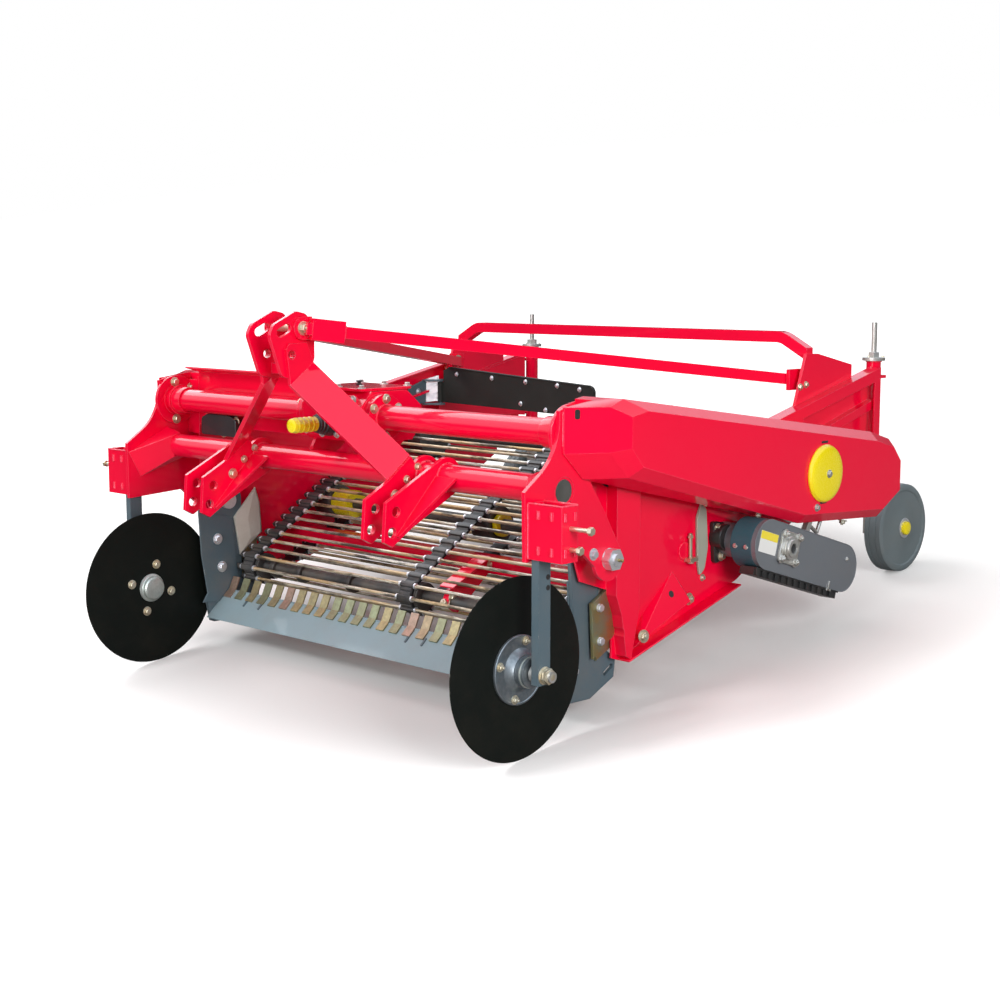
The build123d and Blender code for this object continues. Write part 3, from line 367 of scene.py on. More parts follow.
def effect(name, inputs, outputs):
    """Empty node group with its named sockets, single values unless SOCKET_KINDS says otherwise."""
    group = bpy.data.node_groups.new(name, "ShaderNodeTree")
    for way, labels in (("INPUT", inputs), ("OUTPUT", outputs)):
        for label in labels:
            kind = SOCKET_KINDS.get(label, "Float")
            group.interface.new_socket(label, in_out=way, socket_type="NodeSocket" + kind)
    return group, group.nodes.new("NodeGroupInput").outputs, group.nodes.new("NodeGroupOutput")


def edge_effect():
    """Rounded normal at edges, and a broken mask where paint has gone from them: 1 minus the cosine
    between the rounded and the true normal, times noise."""
    group, given, result = effect("edge_wear", ("Radius", "Wear"), ("Normal", "Edge", "Bare"))
    soft = node(group, "Bevel", {"Radius": given["Radius"]}, samples=3)[0]
    true = node(group, "NewGeometry")["True Normal"]
    cosine = node(group, "VectorMath", {0: soft, 1: true}, operation="DOT_PRODUCT")["Value"]
    edge = ramp(group, maths(group, "SUBTRACT", 1, cosine), 0.015, 0.12)
    chips = ramp(group, noise(group, 46, 5, 0.7), 0.56, 0.66)
    bare = times(group, times(group, edge, chips), given["Wear"])
    give(group, result, {"Normal": soft, "Edge": edge, "Bare": bare})
    return group


def dust_effect():
    """Field dust: cloudy noise, denser towards the ground."""
    group, given, result = effect("field_dust", ("Amount", "Height"), ("Dust",))
    spot = node(group, "TexCoord")["Object"]
    height = node(group, "SeparateXYZ", {0: spot})["Z"]
    low = ramp(group, maths(group, "DIVIDE", height, given["Height"]), 0, 1, 1, 0.18)
    cloud = ramp(group, noise(group, 9, 6, 0.62, spot), 0.38, 0.72)
    speck = ramp(group, noise(group, 160, 3, 0.6, spot), 0.45, 0.75)
    dust = times(group, maths(group, "ADD", cloud, times(group, speck, 0.35)), low)
    give(group, result, {"Dust": maths(group, "MINIMUM", times(group, dust, given["Amount"]), 1)})
    return group


def coat_effect():
    """Sprayed paint: slow shade variation, fine orange peel, and faint rub marks in the gloss."""
    group, given, result = effect("sprayed_coat", ("Peel", "Shade"), ("Tone", "Height", "Haze"))
    slow = noise(group, 2.6, 3)
    tone = scaled(group, maths(group, "SUBTRACT", slow, 0.5), given["Shade"], 1)
    peel = times(group, noise(group, 620, 2), given["Peel"])
    wave = times(group, noise(group, 34, 2), given["Peel"])
    haze = ramp(group, noise(group, 21, 6, 0.7), 0.4, 0.75)
    height = maths(group, "ADD", peel, times(group, wave, 2.2))
    give(group, result, {"Tone": tone, "Height": height, "Haze": haze})
    return group


def plating_effect():
    """Passivated zinc: patches that drift between two tints, with fine crystalline grain."""
    group, given, result = effect("plating", ("First", "Second"), ("Color", "Height", "Haze"))
    patch = ramp(group, noise(group, 28, 4, 0.6), 0.36, 0.66)
    grain = noise(group, 900, 2)
    tint = mix(group, patch, given["First"], given["Second"])
    colour = mix(group, 1, tint, scaled(group, grain, 0.35, 0.8), "MULTIPLY")
    give(group, result, {"Color": colour, "Height": grain, "Haze": patch})
    return group


EDGE, DUST, COAT, PLATING = edge_effect(), dust_effect(), coat_effect(), plating_effect()
SOIL = (0.26, 0.19, 0.13)
DUST_HEIGHT = 0.9               # metres over which field dust thins out


def blank(name, coat=0, metal=0, specular=0.5, coat_rough=0.06):
    """Material with its Principled shader and the constants set on its own sockets."""
    made = bpy.data.materials.new(name)
    made.use_nodes = True
    shader = made.node_tree.nodes["Principled BSDF"]
    give(made.node_tree, shader, {"Coat Weight": coat, "Coat Roughness": coat_rough, "Metallic": metal,
                                  "Specular IOR Level": specular})
    return made, made.node_tree, shader


def use(tree, group, values):
    """Places a shared effect in a material with its own values."""
    return node(tree, "Group", values, node_tree=group)


def edges(tree, radius, wear=0):
    """Rounded normal, edge mask and bare mask."""
    return use(tree, EDGE, {"Radius": radius, "Wear": wear})


def dusted(tree, amount):
    """Mask of field dust."""
    return use(tree, DUST, {"Amount": amount, "Height": DUST_HEIGHT})["Dust"]


def finish(made, tree, shader, colour, rough, height, strength, depth, normal=None):
    """Gives the shader its colour, its roughness, and a height as relief on the normal."""
    relief = {"Height": height, "Strength": strength, "Distance": depth}
    if normal:
        relief["Normal"] = normal
    give(tree, shader, {"Base Color": colour, "Roughness": rough, "Normal": node(tree, "Bump", relief)[0]})
    return made


def painted(name, colour, primer, rough, coat, wear=1, dust=0.25, peel=0.4, shade=0.16, coat_rough=0.06,
            specular=0.5, glint=None):
    """Sprayed steel: the coat's tone and peel, pale rounded edges worn to primer, a painted highlight that
    lightens the rounded edges where a glint colour is given, and field dust.
    """
    made, tree, shader = blank(name, coat, specular=specular, coat_rough=coat_rough)
    edge, soil = edges(tree, 0.0022, wear), dusted(tree, dust)
    spray = use(tree, COAT, {"Peel": peel, "Shade": shade})
    base = mix(tree, 1, colour, spray["Tone"], "MULTIPLY")
    # painted highlight: the edge mask lightens the rounded edges towards the glint colour
    if glint:
        base = mix(tree, times(tree, edge["Edge"], 0.55), base, glint)
    base = mix(tree, edge["Bare"], mix(tree, times(tree, soil, 0.55), base, SOIL), primer)
    rough = scaled(tree, soil, 0.45, scaled(tree, spray["Haze"], 0.1, rough))
    height = scaled(tree, soil, 0.4, spray["Height"])
    return finish(made, tree, shader, base, maths(tree, "MINIMUM", rough, 0.95), height, 0.25, 0.0004,
                  edge["Normal"])


def plated(name, first, second, rough=0.32, dust=0.2):
    """Zinc-plated steel with drifting passivation tints."""
    made, tree, shader = blank(name, metal=0.85)
    zinc_skin, soil = use(tree, PLATING, {"First": (*first, 1), "Second": (*second, 1)}), dusted(tree, dust)
    rough = scaled(tree, soil, 0.3, scaled(tree, zinc_skin["Haze"], 0.14, rough))
    return finish(made, tree, shader, mix(tree, soil, zinc_skin["Color"], SOIL), rough, zinc_skin["Height"],
                  0.2, 0.0003, edges(tree, 0.0008)["Normal"])


def moulded(name, colour, rough=0.45, grain=480, relief=0.0004, dust=0.3, coat=0, fade=(0.3, 0.3, 0.3),
            specular=0.5):
    """Rubber or plastic: fine grain, faded patches and dust in the grain."""
    made, tree, shader = blank(name, coat, specular=specular)
    soil = dusted(tree, dust)
    fine = noise(tree, grain, 3, 0.6)
    patch = ramp(tree, noise(tree, 7, 4), 0.35, 0.7, 0, 0.22)
    base = mix(tree, times(tree, soil, 0.6), mix(tree, patch, colour, fade), SOIL)
    rough = scaled(tree, soil, 0.25, scaled(tree, fine, 0.22, rough - 0.1))
    return finish(made, tree, shader, base, rough, fine, 0.35, relief, edges(tree, 0.0015)["Normal"])


def drawn_rod(name, belts):
    """Drawn steel rod polished by soil: streaks along x, tan rust film in patches, black where the belts
    (middle, half width) run."""
    made, tree, shader = blank(name, metal=0.55)
    spot = node(tree, "TexCoord")["Object"]
    streak = noise(tree, 60, 4, 0.6, spot, (0.35, 4, 4))
    rust = ramp(tree, noise(tree, 5, 5, 0.65, spot, (0.5, 4, 4)), 0.4, 0.62)
    bright = mix(tree, ramp(tree, streak, 0.3, 0.7), (0.16, 0.15, 0.13), (0.86, 0.82, 0.7))
    base = mix(tree, times(tree, rust, 0.85), bright, (0.56, 0.37, 0.15))
    grime = ramp(tree, noise(tree, 9, 5, 0.7, spot, (0.6, 3, 3)), 0.5, 0.62, 0, 0.85)
    base = mix(tree, grime, base, (0.035, 0.028, 0.022))
    across = node(tree, "SeparateXYZ", {0: spot})["X"]
    black = None
    for middle, half in belts:
        offset = maths(tree, "ABSOLUTE", maths(tree, "SUBTRACT", across, middle))
        here = maths(tree, "LESS_THAN", offset, half)
        black = here if black is None else maths(tree, "MAXIMUM", black, here)
    give(tree, shader, {"Metallic": times(tree, maths(tree, "SUBTRACT", 1, black), 0.4)})
    rough = scaled(tree, black, 0.2, scaled(tree, rust, 0.25, 0.26))
    base = mix(tree, black, base, (0.012, 0.012, 0.013))
    return finish(made, tree, shader, base, rough, streak, 0.25, 0.0004)


def finger_plating(name, pitch):
    """Yellow-passivated fingers: each one drifts to its own olive, gold or rose tint, dulled by soil."""
    made, tree, shader = blank(name, metal=0.75)
    spot = node(tree, "TexCoord")["Object"]
    across = node(tree, "SeparateXYZ", {0: spot})["X"]
    which = maths(tree, "FLOOR", maths(tree, "DIVIDE", maths(tree, "ADD", across, pitch / 2), pitch))
    own = node(tree, "TexWhiteNoise", {"W": which}, noise_dimensions="1D")["Value"]
    warm = mix(tree, ramp(tree, own, 0.25, 0.55), (0.36, 0.38, 0.22), (0.52, 0.43, 0.22))
    tint = mix(tree, ramp(tree, own, 0.72, 0.9), warm, (0.56, 0.36, 0.28))
    cloud = noise(tree, 60, 5, 0.65, spot)
    shaded = mix(tree, ramp(tree, cloud, 0.3, 0.7, 0, 0.55), tint, (0.2, 0.17, 0.11))
    base = mix(tree, dusted(tree, 0.35), shaded, SOIL)
    return finish(made, tree, shader, base, scaled(tree, cloud, 0.3, 0.28), cloud, 0.3, 0.0004,
                  edges(tree, 0.001)["Normal"])


# -------- finishes
FINGER_PITCH = 0.0596
BELTS_X, BELT_HALF = (-735, 50, 735), 27.5
# the red carries a painted pink highlight along its rounded edges (glint)
red = painted("red_gloss", (0.84, 0.0006, 0.036), (0.9, 0.5, 0.55), 0.45, 0.8, wear=0.35, dust=0.01, peel=0.2,
              shade=0.08, coat_rough=0.07, specular=0.08, glint=(1, 0.2, 0.3))
disc_black = painted("disc_black", (0.0045, 0.006, 0.005), (0.45, 0.45, 0.42), 0.46, 0, wear=0.9, dust=0.03,
                     shade=0.5, specular=0.16)
slate = painted("slate_blue_paint", (0.075, 0.115, 0.14), (0.4, 0.38, 0.34), 0.36, 0.35, wear=0.8, dust=0.3)
blade_blue = painted("share_blue_paint", (0.25, 0.345, 0.385), (0.55, 0.44, 0.38), 0.38, 0.2, specular=0.35)
beige = painted("beige_sheet", (0.58, 0.56, 0.5), (0.4, 0.36, 0.3), 0.5, 0.15, wear=0.5, dust=0.5)
grey = painted("grey_guard_paint", (0.135, 0.148, 0.165), (0.4, 0.4, 0.4), 0.34, 0.4, wear=0.4, dust=0.12)
black = painted("black_paint", (0.013, 0.014, 0.015), (0.2, 0.2, 0.2), 0.38, 0.3, wear=0.3, dust=0.15)
teal = painted("dark_teal_paint", (0.035, 0.095, 0.12), (0.3, 0.3, 0.3), 0.5, 0.1, wear=0.3, dust=0.05,
               specular=0.2)
oblong_green = painted("grey_green_plate", (0.34, 0.36, 0.3), (0.4, 0.38, 0.3), 0.42, 0.2, wear=0.5, dust=0.3)
zinc = plated("bright_zinc", (0.74, 0.73, 0.7), (0.58, 0.56, 0.5), 0.3)
gold_zinc = plated("gold_zinc", (0.7, 0.6, 0.42), (0.72, 0.68, 0.55), 0.3)
share_zinc = finger_plating("finger_zinc", FINGER_PITCH)
carrier_gold = plated("carrier_gold", (0.42, 0.34, 0.14), (0.34, 0.36, 0.22), 0.36)
hub_steel = plated("hub_steel", (0.3, 0.34, 0.37), (0.2, 0.24, 0.27), 0.34)
white_zinc = plated("white_zinc", (0.88, 0.88, 0.9), (0.74, 0.75, 0.78), 0.34, dust=0.05)
cap_silver = plated("cap_silver", (0.62, 0.66, 0.62), (0.5, 0.54, 0.5), 0.42, dust=0.1)
yellow = moulded("yellow_cap", (0.86, 0.7, 0), 0.26, 300, 0.0002, 0.05, 0.5, (0.9, 0.8, 0.1))
rubber_board = moulded("swath_rubber", (0.01, 0.012, 0.01), 0.55, 700, 0.0003, 0.06,
                       fade=(0.03, 0.033, 0.03), specular=0.25)
tyre = moulded("wheel_rubber", (0.125, 0.155, 0.165), 0.55, 240, 0.0008, 0.15, fade=(0.2, 0.23, 0.24))
roller_black = moulded("roller_black", (0.02, 0.02, 0.02), 0.5, 300, 0.0005, 0.45)
belt_black = moulded("belt_black", (0.012, 0.012, 0.013), 0.45, 500, 0.0005)
plug_grey = moulded("plug_grey", (0.05, 0.055, 0.05), 0.5)
label_white = moulded("blank_label", (0.78, 0.78, 0.76), 0.4, 260, 0.0001, 0.1, 0.3, (0.7, 0.7, 0.7))
label_yellow = moulded("blank_label_band", (0.85, 0.68, 0.02), 0.4, 260, 0.0001, 0.05, 0.3, (0.8, 0.7, 0.2))
web_steel = drawn_rod("web_rod_steel", [(x / 1000, (BELT_HALF + 0.5) / 1000) for x in BELTS_X])

# the first finish of each slot is the one its CAD nodes wear
SLOTS = {
    "red_paint": (red,), "disc_black": (disc_black,), "slate_paint": (slate, oblong_green),
    "blade_paint": (blade_blue,), "zinc": (zinc, white_zinc, hub_steel, cap_silver),
    "zinc_gold": (gold_zinc, carrier_gold), "beige_paint": (beige,), "web_steel": (web_steel, belt_black),
    "roller_plastic": (roller_black,), "wheel_rubber": (tyre,), "rubber_sheet": (rubber_board,),
    "grey_paint": (grey, teal, label_white, label_yellow), "black_paint": (black, plug_grey),
    "yellow_plastic": (yellow,)}
NODE_FINISH = {"share_fingers": share_zinc, "share_pivots": white_zinc, "shaft_carriers": carrier_gold}
for part in record["subparts"]:
    for name in [part["node"]] if "node" in part else part.get("nodes", []):
        nodes[name].data.materials.clear()
        nodes[name].data.materials.append(NODE_FINISH.get(name, SLOTS[part["material_slot"]][0]))

# -------- camera, light, floor
CAMERA_AT = (3790.143, -3049.297, 645.669)
CAMERA_RIGHT = unit((0.7202, 0.6938, 0))
CAMERA_BACK = -unit((-0.6875, 0.7136, -0.1347))
LENS = 60.275


def stand(made, axes, at):
    """Puts an object in the scene with its three axes as the columns of its pose."""
    pose = np.eye(4)
    pose[:3, :3], pose[:3, 3] = np.stack(axes, -1), at
    made.matrix_world = Matrix(pose.tolist())
    bpy.context.scene.collection.objects.link(made)


camera = bpy.data.objects.new("camera", bpy.data.cameras.new("camera"))
camera.data.lens = LENS
camera.data.sensor_width = 36
camera.data.clip_end = 200
camera_axes = np.stack([CAMERA_RIGHT, np.cross(CAMERA_BACK, CAMERA_RIGHT), CAMERA_BACK]) @ AXES
stand(camera, camera_axes, place(CAMERA_AT))
bpy.context.scene.camera = camera


def soft_lamp(name, at, aim, size, watts, mirrored=True):
    """Square area lamp at a point, facing another; gloss may be kept from mirroring it."""
    lamp = bpy.data.lights.new(name, "AREA")
    lamp.size, lamp.energy = size, watts
    made = bpy.data.objects.new(name, lamp)
    stand(made, frame_about(np.subtract(at, aim)), at)
    made.visible_camera, made.visible_glossy = False, mirrored


soft_lamp("key", (-1.6, -5.4, 5.2), (0, -0.2, 0.4), 1.6, 170)
soft_lamp("front", (1.5, -6.6, 1.9), (0, -0.3, 0.45), 4, 190)
soft_lamp("overhead", (-4.6, 0.4, 5), (0, 0, 0.4), 5, 230)
soft_lamp("fill", (6, -2.2, 2.6), (0, 0, 0.4), 2.5, 300, False)

# white where the camera or glass sees the sky, dim in diffuse light, brighter upwards in reflections
SKY_GLOSS, SKY_DIFFUSE = 1.7, 0.26
world = bpy.data.worlds.new("studio")
bpy.context.scene.world = world
world.use_nodes = True
sky = world.node_tree
ray = node(sky, "LightPath")
seen = maths(sky, "MAXIMUM", ray["Is Camera Ray"], ray["Is Transmission Ray"])
height = node(sky, "SeparateXYZ", {0: node(sky, "TexCoord")["Generated"]})["Z"]
reflected = times(sky, ray["Is Glossy Ray"], ramp(sky, height, 0.08, 0.34, 0, SKY_GLOSS))
diffuse = times(sky, maths(sky, "SUBTRACT", 1, ray["Is Glossy Ray"]), SKY_DIFFUSE)
strength = scaled(sky, seen, 1 - SKY_DIFFUSE, maths(sky, "ADD", reflected, diffuse))
tint = mix(sky, ray["Is Glossy Ray"], (1, 1, 1), (0.78, 0.88, 1))
give(sky, sky.nodes["Background"], {"Color": tint, "Strength": strength})

FLOOR_HALF = 30
floor_mesh = bpy.data.meshes.new("floor")
floor_mesh.from_pydata([(x, y, 0) for x, y in box((-FLOOR_HALF, FLOOR_HALF), (-FLOOR_HALF, FLOOR_HALF))], [],
                       [[0, 1, 2, 3]])
floor = bpy.data.objects.new("floor", floor_mesh)
bpy.context.scene.collection.objects.link(floor)
pale = bpy.data.materials.new("pale_floor")
pale.use_nodes = True
sheet = pale.node_tree
away = node(sheet, "VectorMath", {0: node(sheet, "TexCoord")["Object"]}, operation="LENGTH")["Value"]
glow = maths(sheet, "ADD", ramp(sheet, away, 0.95, 1.6, 0, 0.42), ramp(sheet, away, 2, 6, 0, 0.58))
direct = node(sheet, "LightPath")["Is Camera Ray"]
give(sheet, sheet.nodes["Principled BSDF"], {
    "Roughness": 0.9, "Specular IOR Level": 0, "Emission Color": (1, 1, 1, 1),
    "Base Color": mix(sheet, direct, (0.28, 0.28, 0.28), (0.82, 0.82, 0.82)),
    "Emission Strength": times(sheet, direct, glow)})
floor_mesh.materials.append(pale)
bpy.context.scene.view_settings.view_transform = "Standard"

# -------- places shared by several pieces
WALL_X, CASE_X, CASE_FACE_X = 832, 901, 999.6
UPPER_TUBE, LOWER_TUBE = (235, 225), (193, 78)
HEAD_BOLT, STAY_RUN = (8, 488), (0.421, 0.9, -0.113)
PIVOT, INPUT_Z = (376, -123), 205
DISC_AT, DISC_X, DISC_R = (83, -390), 834, 249
HUB_BOLTS, HUB_TURN = 79, radians(75)
WHEEL_AT, WHEEL_X = (1940, -212), 850
JACK_X, JACK_Y = 783, 1882
ROLLERS = {"front": (462, -350, 45), "crown": (795, -160, 60), "drive": (1263, 42, 78)}
BELT_T, WEB_PITCH, ROD_END_X = 8, 42, 776
BLOCK_FACES = [[0, 1, 5, 4], [1, 2, 6, 5], [2, 3, 7, 6], [3, 0, 4, 7], [3, 2, 1, 0], [4, 5, 6, 7]]


# -------- disc coulters
def coulter(name, side):
    """Dished edge disc, its bolted hub flange and barrel, the domed inner cap and their bolts."""
    body, out = f"{name}_disc", (side, 0, 0)
    at = (side * DISC_X, *DISC_AT)
    blade = [(-3, 12), (-3, 222), (-2.4, 228), (-0.6, DISC_R - 0.4), (0.2, DISC_R), (0.8, DISC_R - 0.6),
             (3, 236), (3, 12)]
    blade = piece(f"disc_blade_{name}", [lathe(blade, at, out, 128)], disc_black, body=body, crisp=20)
    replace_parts(blade, f"disc_coulter_{name}")
    hub = [(3, 30), (3, 93), (4, 94.5), (10, 94.5), (12.2, 92.5), (12.4, 89), (11.2, 87), (11.4, 60),
           (14, 56), (26, 46), (30, 44), (30.5, 40), (57.5, 40), (58, 38), (58, 16)]
    piece(f"hub_flange_{name}", [lathe(hub, at, out, 72)], hub_steel, body=body, crisp=28)
    cap = [(-3, 47), (-6, 46), (-8, 40), (-10, 38.5), (-20, 38), (-25, 34), (-27.4, 24), (-28, 8)]
    cap = [lathe(cap, at, out, 48), hoop(flip(side, (DISC_X + 47, *DISC_AT)), out, 20, 42.5, 4.5)]
    piece(f"hub_cap_{name}", cap, cap_silver, body=body, crisp=28)
    ring = bolt_circle(side * (DISC_X + 11.6), DISC_AT, HUB_BOLTS, 4, out, 15, HUB_TURN, stub=7)
    ring += bolt_circle(side * (DISC_X - 2.8), DISC_AT, HUB_BOLTS, 4, (-side, 0, 0), 18, HUB_TURN)
    piece(f"hub_bolts_{name}", ring, gold_zinc, body=body)
    nut = bolts(side, [(932.3, *DISC_AT)], X, 38, head=20, washer=24, stub=9)
    piece(f"spindle_nut_{name}", nut + [hoop((side * 942, *DISC_AT), out, 10, 20.5, 4)], gold_zinc)


for side_name, sign in SIDES:
    coulter(side_name, sign)


# -------- rear wheels
def wheel(name, side):
    """Solid tyre with grooved tread and a shallow coned face, washer and hub cap."""
    body, out = f"{name}_wheel", (side, 0, 0)
    at = (side * WHEEL_X, *WHEEL_AT)
    grooves = [(start + across, radius) for start in (-14, 10)
               for across, radius in ((0, 149.6), (1.2, 148), (3.2, 148), (4.4, 149.6))]
    profile = [
        (-35, 14), (-35, 60), (-31, 66), (-31, 128), (-34, 136), (-32, 144), (-28, 148.6), *grooves,
        (29, 148.4), (33, 143), (35, 135), (34, 128), (30.5, 124), (29, 90), (31.5, 60), (35, 46), (36, 24),
        (36, 14)]
    solid = piece(f"wheel_tyre_{name}", [lathe(profile, at, out, 96)], tyre, body=body, crisp=30)
    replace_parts(solid, f"rear_wheel_{name}")
    washer = hoop(flip(side, (WHEEL_X + 37, *WHEEL_AT)), out, 14, 34, 3)
    piece(f"wheel_washer_{name}", [washer], white_zinc, body=body)
    cap = lathe([(38, 23), (44, 23.5), (48, 22), (50.5, 17), (51.6, 8)], at, out, 40)
    piece(f"wheel_cap_{name}", [cap], yellow, body=body)


for side_name, sign in SIDES:
    wheel(side_name, sign)


# -------- rod web
def web_stations(extra, pitch):
    """Evenly spaced (y, z, outward angle) along the closed path: arcs round the rollers, and straight runs
    that touch both circles at the angle between centres plus 90 degrees less the cone's half angle."""
    rollers, runs, points, angles = list(ROLLERS.values()), [], [], []
    for (y1, z1, r1), (y2, z2, r2) in zip(rollers, rollers[1:] + rollers[:1]):
        angle = np.arctan2(z2 - z1, y2 - y1) + np.pi / 2 - np.arcsin((r1 - r2) / np.hypot(y2 - y1, z2 - z1))
        way = polar(angle)
        runs.append(((y1, z1) + (r1 + extra) * way, (y2, z2) + (r2 + extra) * way, angle))
    for (y, z, radius), before, run in zip(rollers, runs[-1:] + runs[:-1], runs):
        bend = before[2] - np.linspace(0, (before[2] - run[2]) % (2 * np.pi), 200, endpoint=False)
        points.append((y, z) + (radius + extra) * polar(bend))
        points.append(run[0] + (run[1] - run[0]) * np.linspace(0, 1, 400, endpoint=False)[:, None])
        angles += [bend, np.full(400, run[2])]
    points, angles = np.concatenate(points + [points[0][:1]]), np.unwrap(np.concatenate(angles))
    along = np.concatenate([[0], np.cumsum(np.linalg.norm(np.diff(points, axis=0), axis=1))])
    count = int(round(along[-1] / pitch))
    t = (np.arange(count) + 0.5) * along[-1] / count
    tracks = (*points.T, np.append(angles, angles[0] - 2 * np.pi))
    return [np.interp(t, along, track) for track in tracks]


def across_web(outline, radius, steps, x, width, soft):
    """Block on a rod: its outline is (along the web, off the web), its width runs along x."""
    return slab(rounded(outline, radius, steps), (x, 0, 0), Y, Z, width, soft)


ROD_Y, ROD_Z, ROD_TURN = web_stations(BELT_T, WEB_PITCH)
rods, tilt = np.stack([np.zeros_like(ROD_Y), ROD_Y, ROD_Z], -1), ROD_TURN - np.pi / 2
ring = lathe([(-4, 7.2), (-3, 9.6), (3, 9.6), (4, 7.2)], (0, 0, 0), X, 12)
rings = [copies(ring, rods + (belt + offset, 0, 0)) for belt in BELTS_X for offset in (-33, 33)]
piece("web_rod_rings", rings, white_zinc, "web_steel")
bush = across_web(box((-9.5, 9.5), (-4, 9.5)), 4, 2, -28.5, 57, 1.2)
lug = across_web([(-19, -1), (-10, 3), (10, 3), (19, -1), (19, -8), (-19, -8)], 2, 1, -24, 48, 1)
bushes = [copies(shape, rods + (belt, 0, 0), tilt) for belt in BELTS_X for shape in (bush, lug)]
piece("web_belt_bushes", bushes, belt_black)
hooks = [across_web(box((-9, 9), (-8, 8)), 4, 2, end * ROD_END_X - 9, 18, 1.5) for end in (-1, 1)]
piece("web_rod_ends", [copies(hook, rods, tilt) for hook in hooks], belt_black)

RIMS_X = [belt + offset for belt in BELTS_X for offset in (-37, 37)]
*CROWN, CROWN_R = ROLLERS["crown"]
*FRONT, FRONT_R = ROLLERS["front"]
piece("crown_roller_rims", [hoop((x, *CROWN), X, 43, CROWN_R - 0.5, 7, 48) for x in RIMS_X], roller_black)
spacers = [hoop((x, *CROWN), X, 19.8, *sizes, 40, 3) for x, *sizes in (
    (-781, 36, 12), (-655, 48, 88), (98, 38, 22), (655, 48, 88), (781, 36, 12))]
piece("crown_roller_spacers", spacers, yellow)
piece("front_roller_rims", [hoop((x, *FRONT), X, 20.2, FRONT_R - 1, 6, 48, 2) for x in RIMS_X], roller_black)
collars = [hoop((x, *FRONT), X, 19.8, 31, 22, 32, 3) for x in (-640, -500, -250, 380, 560)]
piece("front_shaft_collars", collars, belt_black, "roller_plastic")
piece("spine_bolts", [*bolts(1, ((215.4, 452, -332), (215.4, 618, -252)), X, 17),
                      bolt((202, 436, -352), (0, -0.85, 0.5), 22, stub=6)], gold_zinc)
piece("spine_flange", [slab(box((0, 58), (0, 180)), (176, 440, -304), X, (0, 168, 78), 6, 1.2)], red)

# -------- share, arms and carriers
both("arm_bolts", white_zinc, lambda side: [
    *bolts(side, ((795.4, 329, -251), (795.4, 345, -348)), INWARD, 22, head=8),
    *bolts(side, [(814.2, 330, -440)], X, 20)])
piece("arm_cheeks", [
    side_slab([(253, -142), (327, -166), (393, -182), (413, -399), (330, -466), (263, -462), (284, -432),
               (262, -300)], -801.6, -795.6, 1.2),
    side_slab([(320, -190), (393, -200), (405, -380), (330, -420)], 795.6, 801.6, 1.2)], slate)
both("carrier_faces", carrier_gold, lambda side: [
    side_slab([(384, -258), (481, -213), (483, -359), (393, -416)], side * 823, side * 833.2, 1)])
both("carrier_bolts", white_zinc, lambda side: bolts(
    side, ((833.4, 415, -273), (833.4, 419, -368)), X, 20, head=9, washer=12), slot="zinc_gold")

BLADE_REAR, DIG = np.array([0, 375, -428]), unit((0, 95, 87))
DIG_NORMAL = np.array([0, -DIG[2], DIG[1]])


def on_blade(x, along, over):
    """Point of the share blade at a distance ahead of its rear edge and over its face."""
    return BLADE_REAR - DIG * along + DIG_NORMAL * over + (x, 0, 0)


# four short dark slate bars on the share blade's face
bar = rounded(box((0, 8), (0, 30)), 2, 2)
piece("blade_dark_bars", [slab(bar, on_blade(x, 58, 0.2), X, DIG, 3) for x in (-669, -590, 128, 199)], slate)
piece("blade_weld", [bead([on_blade(x, 4, 0.6) for x in (-800, 800)], 2.6, 3)], blade_blue)
both("arm_heel_flanges", slate, lambda side: [
    side_slab([(300, -530), (396, -532), (505, -484), (500, -476), (396, -522), (304, -521)],
              side * 784, side * 802, 1)])

# folds of the beige side guards: thin facets from the plate's corners up to a ridge
FOLD = [(796.6, 401, -184), (796.6, 494, -89), (796.6, 511, -141), (796.6, 519, -246), (796.6, 425, -316),
        (789, 455, -190), (791, 466, -262)]
FOLD_FACES = [[0, 1, 5], [1, 2, 5], [2, 3, 6, 5], [3, 4, 6], [4, 0, 5, 6], [4, 3, 2, 1, 0]]
both("side_guard_folds", beige, lambda side: [
    ([flip(side, corner) for corner in FOLD], [face[::-side] for face in FOLD_FACES])], crisp=8)

# -------- hitch, mast and tubes
TUBE_WELDS = (*((LOWER_TUBE, 39.5, x) for x in (363, 377, 448, 462)), (LOWER_TUBE, 40, 886),
              (UPPER_TUBE, 38.5, 163.8), (UPPER_TUBE, 52.5, 886))
TUBE_RINGS = ((881.6, 50.8, 80, 11, 64), (841, 37.2, 43, 70, 56), (852, 42, 50, 7, 56))
both("hitch_bolts", gold_zinc, lambda side: [
    *(bolt((side * (363.8 if side < 0 else 376.2), y, z), X, across)
      for y, z, across in ((74, 31, 19), (118, 72, 14), (160, 104, 14))),
    *bolts(side, [(68.6, *HEAD_BOLT)], X, 24, head=13, stub=6)])
both("hitch_welds", red, lambda side: [
    girth(*tube, radius, side * x, seed) for seed, (tube, radius, x) in enumerate(TUBE_WELDS, 11)], crisp=60)
both("tube_flange_rings", red, lambda side: [
    hoop((side * x, *UPPER_TUBE), X, *sizes) for x, *sizes in TUBE_RINGS])
both("tube_flange_bolts", gold_zinc, lambda side: [
    *bolts(side, ((876, 227, 283), (876, 231, 160), (876, 292, 262)), INWARD, 19),
    *bolt_circle(side * 163.4, UPPER_TUBE, 55, 6, (side, 0, 0), 17, 0.5)])
both("tube_end_plugs", plug_grey, lambda side: [
    lathe([(-5, 31.2), (0, 31.2), (1.2, 29.5), (1.6, 12)], (side * 897.5, *LOWER_TUBE), (side, 0, 0), 48)])
both("socket_braces", red, lambda side: [closed(
    [(side * x, y, z) for x, corners in ((887.8, ((46, 60), (200, 136), (214, 40), (90, -25))),
                                         (802, ((158, 112), (192, 121), (230, 46), (166, 42))))
     for y, z in corners], BLOCK_FACES)], bevel=1.2)
piece("mast_cross_pin", [rod((-44, *HEAD_BOLT), (44, *HEAD_BOLT), 11, 20)], gold_zinc, "zinc")


